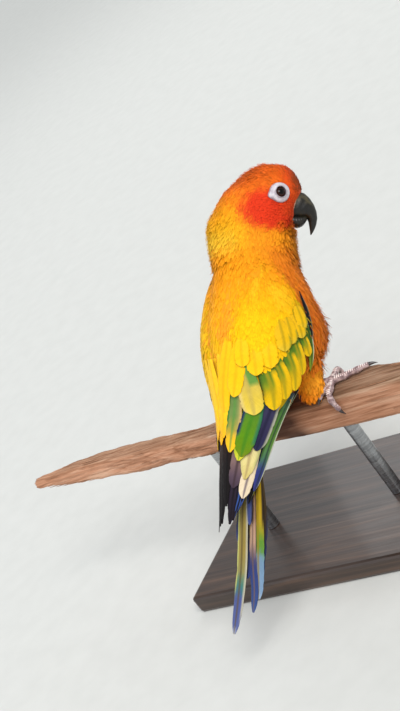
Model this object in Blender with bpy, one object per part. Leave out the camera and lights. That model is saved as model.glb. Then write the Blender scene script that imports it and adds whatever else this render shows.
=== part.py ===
"""A life-size sun conure gripping a cut length of rough timber on a plain display stand.

The named sizes are in millimetres and degrees; meshes are in metres, with +Z up. Three frames are used:
  bird frame:  x to the breast, y to the bird's left, z from the tail tip to the crown
  perch frame: the world's axes, with its origin on the timber's top midway between the feet
  world frame: the perch frame moved so that the origin is under the middle of the whole part
"""

import math
import random
from dataclasses import dataclass

import bmesh
import bpy
from mathutils import Matrix, Vector

MM = 0.001
GAP = 0.3                    # clearance between neighbouring nodes
WELD = 0.000002              # metres: points closer than this are one

UP = Vector((0.0, 0.0, 1.0))

# Pose
BODY_PITCH = 45.0            # body axis above the horizontal
BODY_YAW = 17.0              # body axis turned to the bird's right of square to the timber
HEAD_TURN = 35.0             # head turned further to the bird's right
FEET_MIDDLE = (32.2, -0.2, 133.0)    # bird frame point that stands on the perch frame's origin
FOOT_SPACING = 40.0

# Timber perch and stand
PERCH_TOP = 92.0             # height of the timber's top above the floor
PERCH_HALF_WIDTH = 12.0      # where the feet grip it
PERCH_CHAMFER = 2.5
PERCH_ROUGHNESS = 0.7
PERCH_EVEN = 60.0            # the timber is left even this far to both sides of the middle
BASE_LENGTH = 176.0
BASE_WIDTH = 116.0
BASE_THICKNESS = 12.0
BASE_CENTRE_X = 34.0
BASE_BEVEL = 2.0
ROD_RADIUS = 4.0
ROD_SPACING = 92.0

# Division of the body along its axis
TORSO_BOTTOM = 100.0
TORSO_TOP = 203.0
NECK_TOP = 219.0


@dataclass(frozen=True)
class Station:
    """One cross-section of the body: an ellipse square to the body axis."""

    z: float
    centre: float
    depth: float             # half size, breast to back
    width: float             # half size, side to side
    turn: float = 0.0        # degrees to the bird's right


BODY = (
    Station(99.0, -9.6, 6.6, 10.4),
    Station(108.0, -9.0, 10.4, 13.8),
    Station(118.0, -7.0, 15.0, 18.0),
    Station(128.0, -4.0, 21.0, 22.0),
    Station(141.0, 0.0, 28.0, 26.0),
    Station(153.0, 1.5, 32.5, 27.8),
    Station(165.0, 2.0, 34.2, 28.3),
    Station(178.0, 1.0, 32.2, 27.5),
    Station(190.0, -1.0, 28.6, 25.0),
    Station(200.0, -3.5, 25.4, 22.3),
    Station(208.0, -5.3, 23.9, 20.4, 10.0),
    Station(216.0, -5.8, 23.7, 19.4, 22.0),
    Station(225.0, -5.7, 24.0, 19.0, HEAD_TURN),
    Station(235.0, -3.2, 23.0, 18.6, HEAD_TURN),
    Station(243.0, 0.4, 22.3, 18.0, HEAD_TURN),
    Station(247.0, 2.4, 20.2, 16.8, HEAD_TURN),
    Station(250.5, 3.8, 17.4, 14.8, HEAD_TURN),
    Station(253.5, 4.6, 14.2, 12.3, HEAD_TURN),
    Station(256.0, 5.0, 10.8, 9.5, HEAD_TURN),
    Station(258.0, 5.2, 6.6, 6.0, HEAD_TURN),
)
CROWN_Z = 259.3
CROWN_X = 5.3

# The surface that the folded wings lie on: the body's own, then past the rump to the wing tips
WING_CLEAR = 0.6
BED_JOIN = 117.0
WING_BED = (
    Station(52.0, -18.0, 4.0, 7.0),
    Station(66.0, -17.0, 5.0, 8.4),
    Station(79.0, -16.0, 7.0, 10.6),
    Station(90.0, -13.6, 9.2, 12.8),
    Station(104.0, -10.8, 12.0, 14.8),
    Station(116.0, -7.9, 15.6, 18.4),
) + tuple(
    Station(s.z, s.centre, s.depth + WING_CLEAR, s.width + WING_CLEAR)
    for s in BODY
    if BED_JOIN < s.z < TORSO_TOP + 6.0
)


@dataclass(frozen=True)
class TimberSection:
    """One section of the timber in the perch frame, from the bird's right to its left."""

    x: float
    front: float             # y of the side that the breast faces
    back: float              # y of the side towards the tail
    top: float
    bottom: float


TIMBER = (
    TimberSection(-76.0, -2.0, 12.5, 0.0, -24.0),
    TimberSection(-56.0, -6.5, 12.2, 0.0, -24.0),
    TimberSection(-44.0, -10.0, 12.0, 0.0, -23.8),
    TimberSection(-32.0, -12.0, 12.0, 0.0, -23.2),
    TimberSection(0.0, -12.0, 12.0, 0.0, -21.6),
    TimberSection(32.0, -12.0, 12.0, 0.0, -19.2),
    TimberSection(50.0, -10.0, 12.4, 0.0, -17.0),
    TimberSection(64.0, -5.0, 12.6, -1.2, -15.2),
    TimberSection(80.0, -3.4, 12.0, -2.0, -15.2),
    TimberSection(98.0, -4.5, 9.6, -2.0, -15.6),
    TimberSection(125.0, -7.0, 6.6, -2.0, -16.2),
    TimberSection(150.0, -9.5, 3.8, -2.0, -16.8),
    TimberSection(172.0, -10.6, 2.0, -2.0, -16.6),
    TimberSection(194.0, -10.0, 1.4, -2.2, -15.0),
    TimberSection(214.0, -8.0, 1.6, -2.6, -12.6),
    TimberSection(232.0, -4.6, 2.4, -3.4, -9.4),
)


def smooth(keys, values, at):
    """Value at a key on a cubic through all points, with slopes from each point's neighbours."""
    if at <= keys[0]:
        return values[0]
    if at >= keys[-1]:
        return values[-1]
    i = max(k for k in range(len(keys) - 1) if keys[k] <= at)

    def slope(k):
        low = max(k - 1, 0)
        high = min(k + 1, len(keys) - 1)
        return (values[high] - values[low]) / (keys[high] - keys[low])

    span = keys[i + 1] - keys[i]
    t = (at - keys[i]) / span
    return (
        (2 * t**3 - 3 * t**2 + 1) * values[i]
        + (t**3 - 2 * t**2 + t) * span * slope(i)
        + (3 * t**2 - 2 * t**3) * values[i + 1]
        + (t**3 - t**2) * span * slope(i + 1)
    )


def section_at(stations, z):
    """The body's cross-section at any height between its stations."""
    keys = [s.z for s in stations]
    fields = ("centre", "depth", "width", "turn")
    return Station(z, *(smooth(keys, [getattr(s, f) for s in stations], z) for f in fields))


def timber_at(x):
    """The timber's section at any place along it."""
    keys = [s.x for s in TIMBER]
    fields = ("front", "back", "top", "bottom")
    return TimberSection(x, *(smooth(keys, [getattr(s, f) for s in TIMBER], x) for f in fields))


def surface_point(stations, z, angle, out=0.0):
    """A point of the bird frame. Angle 0 is the breast, 90 the bird's right side, 180 its back."""
    s = section_at(stations, z)
    x = s.centre + (s.depth + out) * math.cos(math.radians(angle))
    y = -(s.width + out) * math.sin(math.radians(angle))
    turn = math.radians(-s.turn)
    return Vector((x * math.cos(turn) - y * math.sin(turn), x * math.sin(turn) + y * math.cos(turn), z))


def head_point(x, y, z):
    """A point given along the turned head's own forward and left axes, in the bird frame."""
    turn = math.radians(-HEAD_TURN)
    return Vector((x * math.cos(turn) - y * math.sin(turn), x * math.sin(turn) + y * math.cos(turn), z))


def surface_normal(stations, z, angle):
    """Outward direction of a lofted surface."""
    step = 0.5
    along = surface_point(stations, z + step, angle) - surface_point(stations, z - step, angle)
    around = surface_point(stations, z, angle + step) - surface_point(stations, z, angle - step)
    return along.cross(around).normalized()


def clear_scene():
    """Remove every object that the file holds at the start."""
    for item in list(bpy.data.objects):
        bpy.data.objects.remove(item, do_unlink=True)


def srgb_to_linear(value):
    """One sRGB channel, 0 to 1, as linear light."""
    if value <= 0.04045:
        return value / 12.92
    return ((value + 0.055) / 1.055) ** 2.4


def make_material(name, colour, roughness, metallic=0.0):
    """A plain Principled material of a six-digit sRGB colour."""
    channels = [srgb_to_linear(int(colour[i:i + 2], 16) / 255) for i in (0, 2, 4)]
    material = bpy.data.materials.new(name)
    material.use_nodes = True
    shader = material.node_tree.nodes["Principled BSDF"]
    shader.inputs["Base Color"].default_value = (*channels, 1.0)
    shader.inputs["Roughness"].default_value = roughness
    shader.inputs["Metallic"].default_value = metallic
    return material


def add_empty(name, parent=None, matrix=Matrix.Identity(4)):
    """An empty that carries a frame."""
    item = bpy.data.objects.new(name, None)
    bpy.context.scene.collection.objects.link(item)
    item.parent = parent
    item.matrix_local = matrix
    return item


def add_object(name, bm, material=None, parent=None, smooth_angle=40.0):
    """Turn a bmesh in millimetres into a named object in metres."""
    bmesh.ops.recalc_face_normals(bm, faces=bm.faces)
    bmesh.ops.scale(bm, vec=(MM, MM, MM), verts=bm.verts)
    mesh = bpy.data.meshes.new(name)
    bm.to_mesh(mesh)
    bm.free()
    mesh.shade_smooth()
    mesh.set_sharp_from_angle(angle=math.radians(smooth_angle))
    if material:
        mesh.materials.append(material)
    item = bpy.data.objects.new(name, mesh)
    bpy.context.scene.collection.objects.link(item)
    item.parent = parent
    return item


def bridge(bm, rings, close_ends=True):
    """Join rings of vertices with faces and close both ends."""
    for low, high in zip(rings, rings[1:]):
        count = len(low)
        for i in range(count):
            j = (i + 1) % count
            bm.faces.new((low[i], low[j], high[j], high[i]))
    if close_ends:
        bm.faces.new(rings[0])
        bm.faces.new(rings[-1])


def loft_bmesh(stations, heights, segments, out=0.0, pole=None):
    """A closed loft through a set of heights, ending in a pole if one is given."""
    bm = bmesh.new()
    rings = []
    for z in heights:
        ring = [surface_point(stations, z, 360.0 * k / segments, out) for k in range(segments)]
        rings.append([bm.verts.new(p) for p in ring])
    bridge(bm, rings, close_ends=False)
    bm.faces.new(rings[0])
    if pole is None:
        bm.faces.new(rings[-1])
    else:
        top = bm.verts.new(pole)
        for i in range(segments):
            bm.faces.new((rings[-1][i], rings[-1][(i + 1) % segments], top))
    return bm


def spread(first, last, count):
    """Evenly spaced values with both ends included."""
    return [first + (last - first) * k / (count - 1) for k in range(count)]


def evaluated_mesh(item):
    """A copy of an object's mesh with its modifiers applied."""
    graph = bpy.context.evaluated_depsgraph_get()
    return bpy.data.meshes.new_from_object(item.evaluated_get(graph))


def apply_modifiers(item):
    """Replace an object's mesh by its evaluated one."""
    mesh = evaluated_mesh(item)
    item.modifiers.clear()
    item.data = mesh


def cut(item, cutters, solver="EXACT"):
    """Take other objects away from one, then remove them."""
    for cutter in cutters:
        cutter.hide_render = True
        cutter.display_type = "WIRE"
        modifier = item.modifiers.new("cut", "BOOLEAN")
        modifier.operation = "DIFFERENCE"
        modifier.solver = solver
        modifier.object = cutter
    apply_modifiers(item)
    for cutter in cutters:
        bpy.data.objects.remove(cutter, do_unlink=True)
    keep_largest(item)


def join_pieces(core, pieces):
    """Fuse closed pieces onto a core by one union on a collection."""
    group = bpy.data.collections.new(core.name + "_pieces")
    bpy.context.scene.collection.children.link(group)
    for piece in pieces:
        bpy.context.scene.collection.objects.unlink(piece)
        group.objects.link(piece)
    modifier = core.modifiers.new("join", "BOOLEAN")
    modifier.operation = "UNION"
    modifier.operand_type = "COLLECTION"
    modifier.collection = group
    modifier.solver = "MANIFOLD"
    apply_modifiers(core)
    for piece in pieces:
        bpy.data.objects.remove(piece, do_unlink=True)
    bpy.data.collections.remove(group)
    keep_largest(core)


def keep_largest(item):
    """Keep the largest closed surface of a mesh."""
    bm = bmesh.new()
    bm.from_mesh(item.data)
    bmesh.ops.triangulate(bm, faces=bm.faces)
    bmesh.ops.dissolve_degenerate(bm, dist=WELD, edges=bm.edges)
    unseen = set(bm.faces)
    groups = []
    while unseen:
        stack = [unseen.pop()]
        group = set(stack)
        while stack:
            for edge in stack.pop().edges:
                for face in edge.link_faces:
                    if face in unseen:
                        unseen.remove(face)
                        group.add(face)
                        stack.append(face)
        groups.append(group)

    def volume(faces):
        return abs(sum(f.verts[0].co.dot(f.verts[1].co.cross(f.verts[2].co)) for f in faces))

    largest = max(groups, key=volume)
    loose = [face for group in groups if group is not largest for face in group]
    bmesh.ops.delete(bm, geom=loose, context="FACES")
    bm.to_mesh(item.data)
    bm.free()


def frame_from(direction, normal):
    """Side and normal directions square to a path."""
    side = direction.cross(normal).normalized()
    return side, side.cross(direction).normalized()


def tube_bmesh(path, radii, sides=8, flatten=1.0, up=Vector((0, 0, 1))):
    """A closed tube along a path, with a radius at each point."""
    bm = bmesh.new()
    rings = []
    for i, point in enumerate(path):
        ahead = path[min(i + 1, len(path) - 1)]
        behind = path[max(i - 1, 0)]
        side, normal = frame_from((ahead - behind).normalized(), up)
        ring = []
        for k in range(sides):
            angle = math.tau * (k + 0.5) / sides
            offset = side * math.cos(angle) + normal * math.sin(angle) * flatten
            ring.append(bm.verts.new(point + offset * radii[i]))
        rings.append(ring)
    bridge(bm, rings)
    return bm


# Feather vanes: share of the full width along the length, root to tip
BLUNT = ((0.0, 0.5), (0.3, 0.86), (0.65, 1.0), (0.9, 0.78), (1.0, 0.36))
POINTED = ((0.0, 0.55), (0.3, 0.9), (0.6, 0.94), (0.86, 0.6), (1.0, 0.2))
VANE_THICKNESS = 0.6


def vane_bmesh(centre_at, width, outline, tilt=0.0, camber=0.05, thickness=VANE_THICKNESS):
    """A closed feather vane. centre_at gives its point and outward direction for 0 to 1 along it."""
    bm = bmesh.new()
    rings = []
    step = 0.02
    for share, breadth in outline:
        point, normal = centre_at(share)
        ahead = centre_at(min(share + step, 1.0))[0]
        behind = centre_at(max(share - step, 0.0))[0]
        side, normal = frame_from((ahead - behind).normalized(), normal)
        turn = Matrix.Rotation(math.radians(tilt), 3, (ahead - behind).normalized())
        side = turn @ side
        normal = turn @ normal
        half = width * breadth / 2
        rise = normal * camber * width * breadth
        down = normal * thickness
        outer = (point - side * half - rise, point, point + side * half - rise)
        inner = [p - down for p in reversed(outer)]
        rings.append([bm.verts.new(p) for p in (*outer, *inner)])
    for low, high in zip(rings, rings[1:]):
        for i in range(6):
            j = (i + 1) % 6
            # Both faces of a panel are split along the same diagonal
            if i in (0, 1, 2, 5):
                bm.faces.new((low[i], low[j], high[j]))
                bm.faces.new((low[i], high[j], high[i]))
            else:
                bm.faces.new((low[i], low[j], high[i]))
                bm.faces.new((low[j], high[j], high[i]))
    for ring in (rings[0], rings[-1]):
        bm.faces.new((ring[0], ring[1], ring[4], ring[5]))
        bm.faces.new((ring[1], ring[2], ring[3], ring[4]))
    return bm


# Folded wings: the edge towards the breast and the edge towards the back, by height
WING_FRONT = (
    (57.0, 104.0), (79.0, 88.0), (92.0, 72.0), (104.0, 66.0), (118.0, 67.0), (131.0, 76.0), (142.0, 80.0),
    (156.0, 78.0), (168.0, 78.0), (180.0, 82.0), (191.0, 90.0), (201.0, 106.0),
)
WING_BACK = (
    (57.0, 136.0), (79.0, 150.0), (104.0, 161.0), (131.0, 160.0), (156.0, 156.0), (180.0, 149.0), (191.0, 140.0),
    (201.0, 122.0),
)
WING_DEPTH = (
    (57.0, 0.8), (79.0, 1.4), (104.0, 2.0), (112.0, 2.4), (125.0, 3.6), (142.0, 4.6), (160.0, 4.8), (180.0, 4.0),
    (193.0, 2.6), (201.0, 0.9),
)
WING_CORE_LOW = 104.0
WING_CORE_HIGH = 201.0
WING_RIM = 0.3               # share of the depth that is left at the wing's edges


@dataclass(frozen=True)
class Tier:
    """A row of like vanes across the folded wing, from the breast edge to the back edge."""

    count: int
    width: float
    root_z: tuple            # heights of the roots, first vane and last
    tip_z: tuple             # heights of the tips, first vane and last
    root_angle: tuple
    tip_angle: tuple
    root_out: float          # height of the root above the wing's bed, inside the core
    tip_out: float           # height of the tip above the bed
    outline: tuple = BLUNT
    tilt: float = 9.0
    tip_bow: float = 0.0     # extra height of the middle vanes' tips
    stack: float = 0.0       # step outwards from each vane to the next
    camber: float = 0.04     # rise of the shaft above the edges, per width


WING_TIERS = (
    # Median coverts: the scalloped edge of the shoulder
    Tier(6, 10.4, (174.0, 164.0), (159.0, 144.0), (85.0, 142.0), (86.0, 145.0), 2.2, 6.3, tip_bow=-6.0),
    # Greater coverts over the flight feathers
    Tier(6, 10.2, (156.0, 144.0), (140.0, 121.0), (84.0, 142.0), (83.0, 143.0), 2.0, 5.3, tip_bow=-9.0),
    # Secondaries and tertials
    Tier(5, 9.6, (132.0, 130.0), (108.0, 97.0), (84.0, 148.0), (86.0, 151.0), 1.6, 4.2, tip_bow=-8.0),
    # Primaries: the longest lies innermost, and each next one is shorter and further out
    Tier(4, 7.4, (122.0, 122.0), (57.0, 83.0), (74.0, 98.0), (130.0, 110.0), 0.3, 0.6, POINTED, 0.0, 0.0,
         0.85, 0.06),
)


WING_DRIFT = 5.0             # lean of both wing tips to the bird's left
WING_DRIFT_FROM = 118.0
WING_SEEDS = {"right": 6, "left": 9}
TIP_VARIATION = 0.8
TILT_VARIATION = 0.6
ROOT_RISE = 1.6              # a vane reaches its full height at one part in this of its length


def wing_drift(z):
    """Sideways lean of the folded wings towards their tips."""
    down = max(0.0, WING_DRIFT_FROM - z) / (WING_DRIFT_FROM - WING_BED[0].z)
    return Vector((0.0, WING_DRIFT * down**1.5, 0.0))


def wing_bed_at(path_z, path_angle, lifts, mirror):
    """A path on the wing's bed, as a function of the share along it."""

    def centre_at(share):
        z = path_z[0] + (path_z[1] - path_z[0]) * share
        angle = path_angle[0] + (path_angle[1] - path_angle[0]) * share
        normal = surface_normal(WING_BED, z, angle)
        lift = lifts[0] + (lifts[1] - lifts[0]) * min(1.0, share * ROOT_RISE)
        point = surface_point(WING_BED, z, angle) + normal * (lift + VANE_THICKNESS)
        flip = Vector((1.0, mirror, 1.0))
        return point * flip + wing_drift(z), normal * flip

    return centre_at


def wing_core_bmesh(mirror):
    """The shoulder and arm of a folded wing under its feathers."""
    rows = 18
    columns = 11
    bm = bmesh.new()
    inner = []
    outer = []
    front = list(zip(*WING_FRONT))
    back = list(zip(*WING_BACK))
    depth = list(zip(*WING_DEPTH))
    flip = Vector((1.0, mirror, 1.0))
    for z in spread(WING_CORE_LOW, WING_CORE_HIGH, rows):
        first = smooth(*front, z)
        last = smooth(*back, z)
        inner_row = []
        outer_row = []
        for k in range(columns):
            across = k / (columns - 1)
            angle = first + (last - first) * across
            swell = WING_RIM + (1 - WING_RIM) * math.sin(math.pi * across) ** 0.6
            thickness = max(VANE_THICKNESS, smooth(*depth, z) * swell)
            bed = surface_point(WING_BED, z, angle)
            normal = surface_normal(WING_BED, z, angle)
            inner_row.append(bm.verts.new(bed * flip + wing_drift(z)))
            outer_row.append(bm.verts.new((bed + normal * thickness) * flip + wing_drift(z)))
        inner.append(inner_row)
        outer.append(outer_row)
    for i in range(rows - 1):
        for k in range(columns - 1):
            bm.faces.new((outer[i][k], outer[i][k + 1], outer[i + 1][k + 1], outer[i + 1][k]))
            bm.faces.new((inner[i][k], inner[i + 1][k], inner[i + 1][k + 1], inner[i][k + 1]))
        bm.faces.new((inner[i][0], outer[i][0], outer[i + 1][0], inner[i + 1][0]))
        bm.faces.new((inner[i][-1], inner[i + 1][-1], outer[i + 1][-1], outer[i][-1]))
    for k in range(columns - 1):
        bm.faces.new((inner[0][k], inner[0][k + 1], outer[0][k + 1], outer[0][k]))
        bm.faces.new((inner[-1][k], outer[-1][k], outer[-1][k + 1], inner[-1][k + 1]))
    return bm


def make_wing(side, mirror, material, parent):
    """A folded wing: its core with tiers of coverts and flight feathers."""
    core = add_object("wing_" + side, wing_core_bmesh(mirror), material, parent)
    draw = random.Random(WING_SEEDS[side])
    vanes = []
    for tier in WING_TIERS:
        for k in range(tier.count):
            share = k / (tier.count - 1)
            root_z = tier.root_z[0] + (tier.root_z[1] - tier.root_z[0]) * share
            bow = tier.tip_bow * math.sin(math.pi * share)
            tip_z = tier.tip_z[0] + (tier.tip_z[1] - tier.tip_z[0]) * share + bow
            tip_z += draw.uniform(-TIP_VARIATION, TIP_VARIATION)
            tilt = tier.tilt + draw.uniform(-TILT_VARIATION, TILT_VARIATION)
            lift = tier.stack * k
            root_angle = tier.root_angle[0] + (tier.root_angle[1] - tier.root_angle[0]) * share
            tip_angle = tier.tip_angle[0] + (tier.tip_angle[1] - tier.tip_angle[0]) * share
            lifts = (tier.root_out + lift, tier.tip_out + lift)
            path = wing_bed_at((root_z, tip_z), (root_angle, tip_angle), lifts, mirror)
            bm = vane_bmesh(path, tier.width, tier.outline, tilt * mirror, tier.camber)
            vanes.append(add_object("vane", bm, None, parent))
    join_pieces(core, vanes)
    return core


# Tail: a flat root under the coverts, and twelve graduated vanes
TAIL_ROOT = (
    Station(72.0, -8.0, 1.8, 8.6),
    Station(86.0, -8.6, 3.6, 9.4),
    Station(99.0 - GAP, -9.6, 6.4, 10.2),
)
TAIL_PAIRS = 6
TAIL_TOP_Z = 84.0
TAIL_TIPS_LEFT = (0.0, 11.0, 24.0, 37.0, 49.0, 59.0)
TAIL_TIPS_RIGHT = (12.0, 18.0, 28.0, 40.0, 51.0, 60.0)
TAIL_WIDTH = 8.4
TAIL_HALF = 4.7              # middle of the top pair's vanes at the root, from the middle plane
TAIL_STEP = 0.45             # outward step of each pair at the root
TAIL_FAN = 2.2               # outward lean of the tips
TAIL_DRIFT = 4.3             # lean of the longest tip to the bird's left
TAIL_LAYER = 0.95            # step towards the breast of each pair
TAIL_TOP_LAYER = -2.4
TAIL_LEAN = (-8.0, -10.4)    # the middle plane's x at the root and at the longest tip


def make_tail(material, parent):
    """The tail: graduated vanes stacked from the middle pair outwards."""
    heights = spread(TAIL_ROOT[0].z, TAIL_ROOT[-1].z, 6)
    core = add_object("tail", loft_bmesh(TAIL_ROOT, heights, 24), material, parent)
    vanes = []
    for pair in range(TAIL_PAIRS):
        for sign, tips in ((1.0, TAIL_TIPS_LEFT), (-1.0, TAIL_TIPS_RIGHT)):
            def centre_at(share, tip=tips[pair], sign=sign, pair=pair):
                z = TAIL_TOP_Z + (tip - TAIL_TOP_Z) * share
                down = (TAIL_TOP_Z - z) / TAIL_TOP_Z
                layer = TAIL_TOP_LAYER + pair * TAIL_LAYER
                x = TAIL_LEAN[0] + (TAIL_LEAN[1] - TAIL_LEAN[0]) * down + layer
                y = sign * (TAIL_HALF + TAIL_STEP * pair + TAIL_FAN * share) + TAIL_DRIFT * down**1.5
                return Vector((x, y, z)), Vector((-1.0, 0.0, 0.0))

            bm = vane_bmesh(centre_at, TAIL_WIDTH, POINTED)
            vanes.append(add_object("vane", bm, None, parent))
    join_pieces(core, vanes)
    return core


# Head, bill and eyes, along the turned head's own axes
EYE_CENTRE = (9.0, 16.4, 241.4)
EYE_RADIUS = 3.6
EYE_DEPTH = 2.3              # from the head's surface in to the eyeball's middle
RING_PROFILE = ((0.0, -2.0), (6.2, -2.0), (6.1, 0.1), (5.2, 0.55), (3.9, 0.75), (3.1, 1.25), (0.0, 1.25))
NOSTRIL_CENTRE = (25.6, 2.7, 241.9)
NOSTRIL_RADIUS = 0.9
UPPER_BILL = (
    # outer point x, z, inner point x, z, half width
    (19.0, 244.8, 15.5, 229.8, 6.2),
    (23.8, 243.2, 17.6, 229.6, 6.0),
    (27.2, 239.6, 21.6, 229.9, 5.4),
    (29.6, 235.2, 23.6, 230.0, 4.6),
    (30.6, 230.6, 25.2, 228.9, 3.6),
    (30.2, 226.4, 26.0, 226.0, 2.5),
    (28.9, 222.9, 26.5, 222.9, 1.4),
    (27.3, 220.2, 26.8, 220.4, 0.4),
)
LOWER_BILL = (
    (14.5, 229.3, 15.5, 224.0, 5.0),
    (18.5, 229.3, 18.5, 223.8, 4.9),
    (21.0, 229.3, 20.6, 224.7, 4.3),
    (23.2, 229.1, 22.6, 226.6, 3.2),
    (24.4, 228.8, 24.0, 228.0, 1.8),
)
HEAD_SEGMENTS = 36


def head_bmesh(out=0.0, low=NECK_TOP + GAP):
    """The head's loft up to the crown."""
    heights = [low] + [z for z in spread(222.0, 243.0, 7)] + [s.z for s in BODY if s.z > 243.0]
    pole = head_point(CROWN_X, 0.0, CROWN_Z + out)
    return loft_bmesh(BODY, heights, HEAD_SEGMENTS, out, pole)


def bill_bmesh(sections, power=0.8):
    """A bill half lofted through rounded sections in the head's middle plane."""
    sides = 12
    bm = bmesh.new()
    rings = []
    for outer_x, outer_z, inner_x, inner_z, half in sections:
        middle = Vector(((outer_x + inner_x) / 2, 0.0, (outer_z + inner_z) / 2))
        reach = Vector(((outer_x - inner_x) / 2, 0.0, (outer_z - inner_z) / 2))
        ring = []
        for k in range(sides):
            angle = math.tau * k / sides
            across = math.sin(angle)
            across = math.copysign(abs(across) ** power, across) * half
            point = middle + reach * math.cos(angle) + Vector((0.0, across, 0.0))
            ring.append(bm.verts.new(head_point(*point)))
        rings.append(ring)
    bridge(bm, rings)
    return bm


def head_mirror(sign):
    """Signs for a point on the head's left or right."""
    return Vector((1.0, sign, 1.0))


def eye_axis(sign):
    """The direction in which an eye looks, square to the head's side."""
    s = section_at(BODY, EYE_CENTRE[2])
    x = (EYE_CENTRE[0] - s.centre) / s.depth**2
    y = EYE_CENTRE[1] / s.width**2
    flat = Vector((x, sign * y, 0.0)).normalized()
    return head_point(flat.x, flat.y, 0.12).normalized()


def turned_bmesh(profile, origin, axis, segments):
    """A solid turned about an axis from pairs of radius and height."""
    bm = bmesh.new()
    spin = axis.to_track_quat("Z", "Y").to_matrix()
    rings = []
    poles = []
    for radius, height in profile:
        if radius == 0.0:
            poles.append(bm.verts.new(origin + spin @ Vector((0.0, 0.0, height))))
            continue
        ring = []
        for k in range(segments):
            angle = math.tau * k / segments
            offset = Vector((radius * math.cos(angle), radius * math.sin(angle), height))
            ring.append(bm.verts.new(origin + spin @ offset))
        rings.append(ring)
    bridge(bm, rings, close_ends=False)
    for pole, ring in ((poles[0], rings[0]), (poles[-1], rings[-1])):
        for i in range(segments):
            bm.faces.new((ring[i], ring[(i + 1) % segments], pole))
    return bm


def sphere_bmesh(radius, centre, axis, segments=18, rings=10):
    """A ball with its pole along an axis."""
    profile = [(0.0, -radius)]
    for k in range(1, rings):
        angle = math.pi * k / rings
        profile.append((radius * math.sin(angle), -radius * math.cos(angle)))
    profile.append((0.0, radius))
    return turned_bmesh(profile, centre, axis, segments)


def make_head(materials, parent):
    """Head with bare eye rings and eye sockets, both halves of the bill, and the eyes."""
    head = add_object("head", head_bmesh(), materials["face"], parent)
    rings = []
    sockets = []
    for side, sign in (("left", 1.0), ("right", -1.0)):
        surface = head_point(*(Vector(EYE_CENTRE) * head_mirror(sign)))
        axis = eye_axis(sign)
        middle = surface - axis * EYE_DEPTH
        rings.append(add_object("ring", turned_bmesh(RING_PROFILE, surface, axis, 20), None, parent))
        sockets.append(add_object("socket", sphere_bmesh(EYE_RADIUS + GAP, middle, axis), None, parent))
        add_object("eye_" + side, sphere_bmesh(EYE_RADIUS, middle, axis), materials["eye"], parent)
    join_pieces(head, rings)
    cut(head, sockets)
    upper = add_object("bill_upper", bill_bmesh(UPPER_BILL), materials["bill"], parent)
    lower = add_object("bill_lower", bill_bmesh(LOWER_BILL), materials["bill"], parent)
    nostrils = []
    for sign in (1.0, -1.0):
        centre = head_point(*(Vector(NOSTRIL_CENTRE) * head_mirror(sign)))
        ball = sphere_bmesh(NOSTRIL_RADIUS, centre, Vector((0.0, 0.0, 1.0)), 10, 6)
        nostrils.append(add_object("nostril", ball, None, parent))
    cut(upper, [add_object("cutter", head_bmesh(GAP + 0.1, NECK_TOP - 5.0), None, parent), *nostrils])
    cut(lower, [add_object("cutter", head_bmesh(GAP + 0.1, NECK_TOP - 5.0), None, parent)])


def make_body(materials, parent):
    """Torso and neck, parted square to the body axis."""
    torso_heights = spread(TORSO_BOTTOM - 1.0, TORSO_TOP, 22)
    add_object("torso", loft_bmesh(BODY, torso_heights, 36), materials["breast"], parent)
    neck_heights = spread(TORSO_TOP + GAP, NECK_TOP, 5)
    add_object("neck", loft_bmesh(BODY, neck_heights, 36), materials["nape"], parent)


# Legs: the feathered thigh in the bird frame, the rest in the perch frame
THIGH_PATH = ((10.0, 13.0, 159.0), (16.5, 14.2, 151.0), (20.5, 14.5, 143.5), (23.0, 14.3, 137.0), (23.8, 14.1, 132.0))
THIGH_RADII = (9.0, 10.8, 9.8, 6.8, 3.4)
SHANK_TOP = (24.8, 14.4, 137.0)
SHANK_RADIUS = 2.3
FOOT_HEIGHT = 3.3
BALL_RADIUS = 2.9
TOE_RADII = (2.3, 1.8, 2.1, 1.6, 1.9, 1.45)
TOE_LIFT = 2.5               # middle of a toe above the timber
TOE_SIDES = 8
CLAW_RADIUS = 1.15
CLAW_LENGTH = 6.5
CLAW_BEND = 32.0


@dataclass(frozen=True)
class Toe:
    """One toe: where it heads over the timber and how long it is."""

    number: int
    heading: float           # degrees from straight ahead, positive away from the bird's middle
    length: float


TOES = (
    Toe(1, -158.0, 14.0),
    Toe(2, -8.0, 18.0),
    Toe(3, 74.0, 24.0),
    Toe(4, 170.0, 23.0),
)


def bird_matrix():
    """The bird frame in the perch frame, in metres."""
    yaw = math.radians(BODY_YAW)
    pitch = math.radians(BODY_PITCH)
    forward = Vector((-math.sin(yaw), -math.cos(yaw), 0.0))
    up = Vector((0.0, 0.0, 1.0))
    axis = forward * math.cos(pitch) + up * math.sin(pitch)
    breast = forward * math.sin(pitch) - up * math.cos(pitch)
    left = axis.cross(breast)
    spin = Matrix((breast, left, axis)).transposed().to_4x4()
    return Matrix.Translation(-(spin @ Vector(FEET_MIDDLE)) * MM) @ spin


def over_timber(run, lift):
    """Distance out and height of a point that follows the timber's top, edge and side."""
    flat = PERCH_HALF_WIDTH - PERCH_CHAMFER
    bend = PERCH_CHAMFER + lift
    arc = bend * math.pi / 2
    if run < flat:
        return run, lift
    if run < flat + arc:
        angle = (run - flat) / bend
        return flat + bend * math.sin(angle), -PERCH_CHAMFER + bend * math.cos(angle)
    return PERCH_HALF_WIDTH + lift, -PERCH_CHAMFER - (run - flat - arc)


def toe_point(foot_x, outward, toe, run):
    """A point on a toe's middle line in the perch frame."""
    heading = math.radians(toe.heading)
    ahead = math.cos(heading)
    aside = math.sin(heading)
    out, height = over_timber(abs(run * ahead), TOE_LIFT)
    raised = max(0.0, 1.0 - run / 6.0) * (FOOT_HEIGHT - TOE_LIFT)
    return Vector((foot_x + outward * run * aside, -math.copysign(out, ahead), height + raised))


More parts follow.
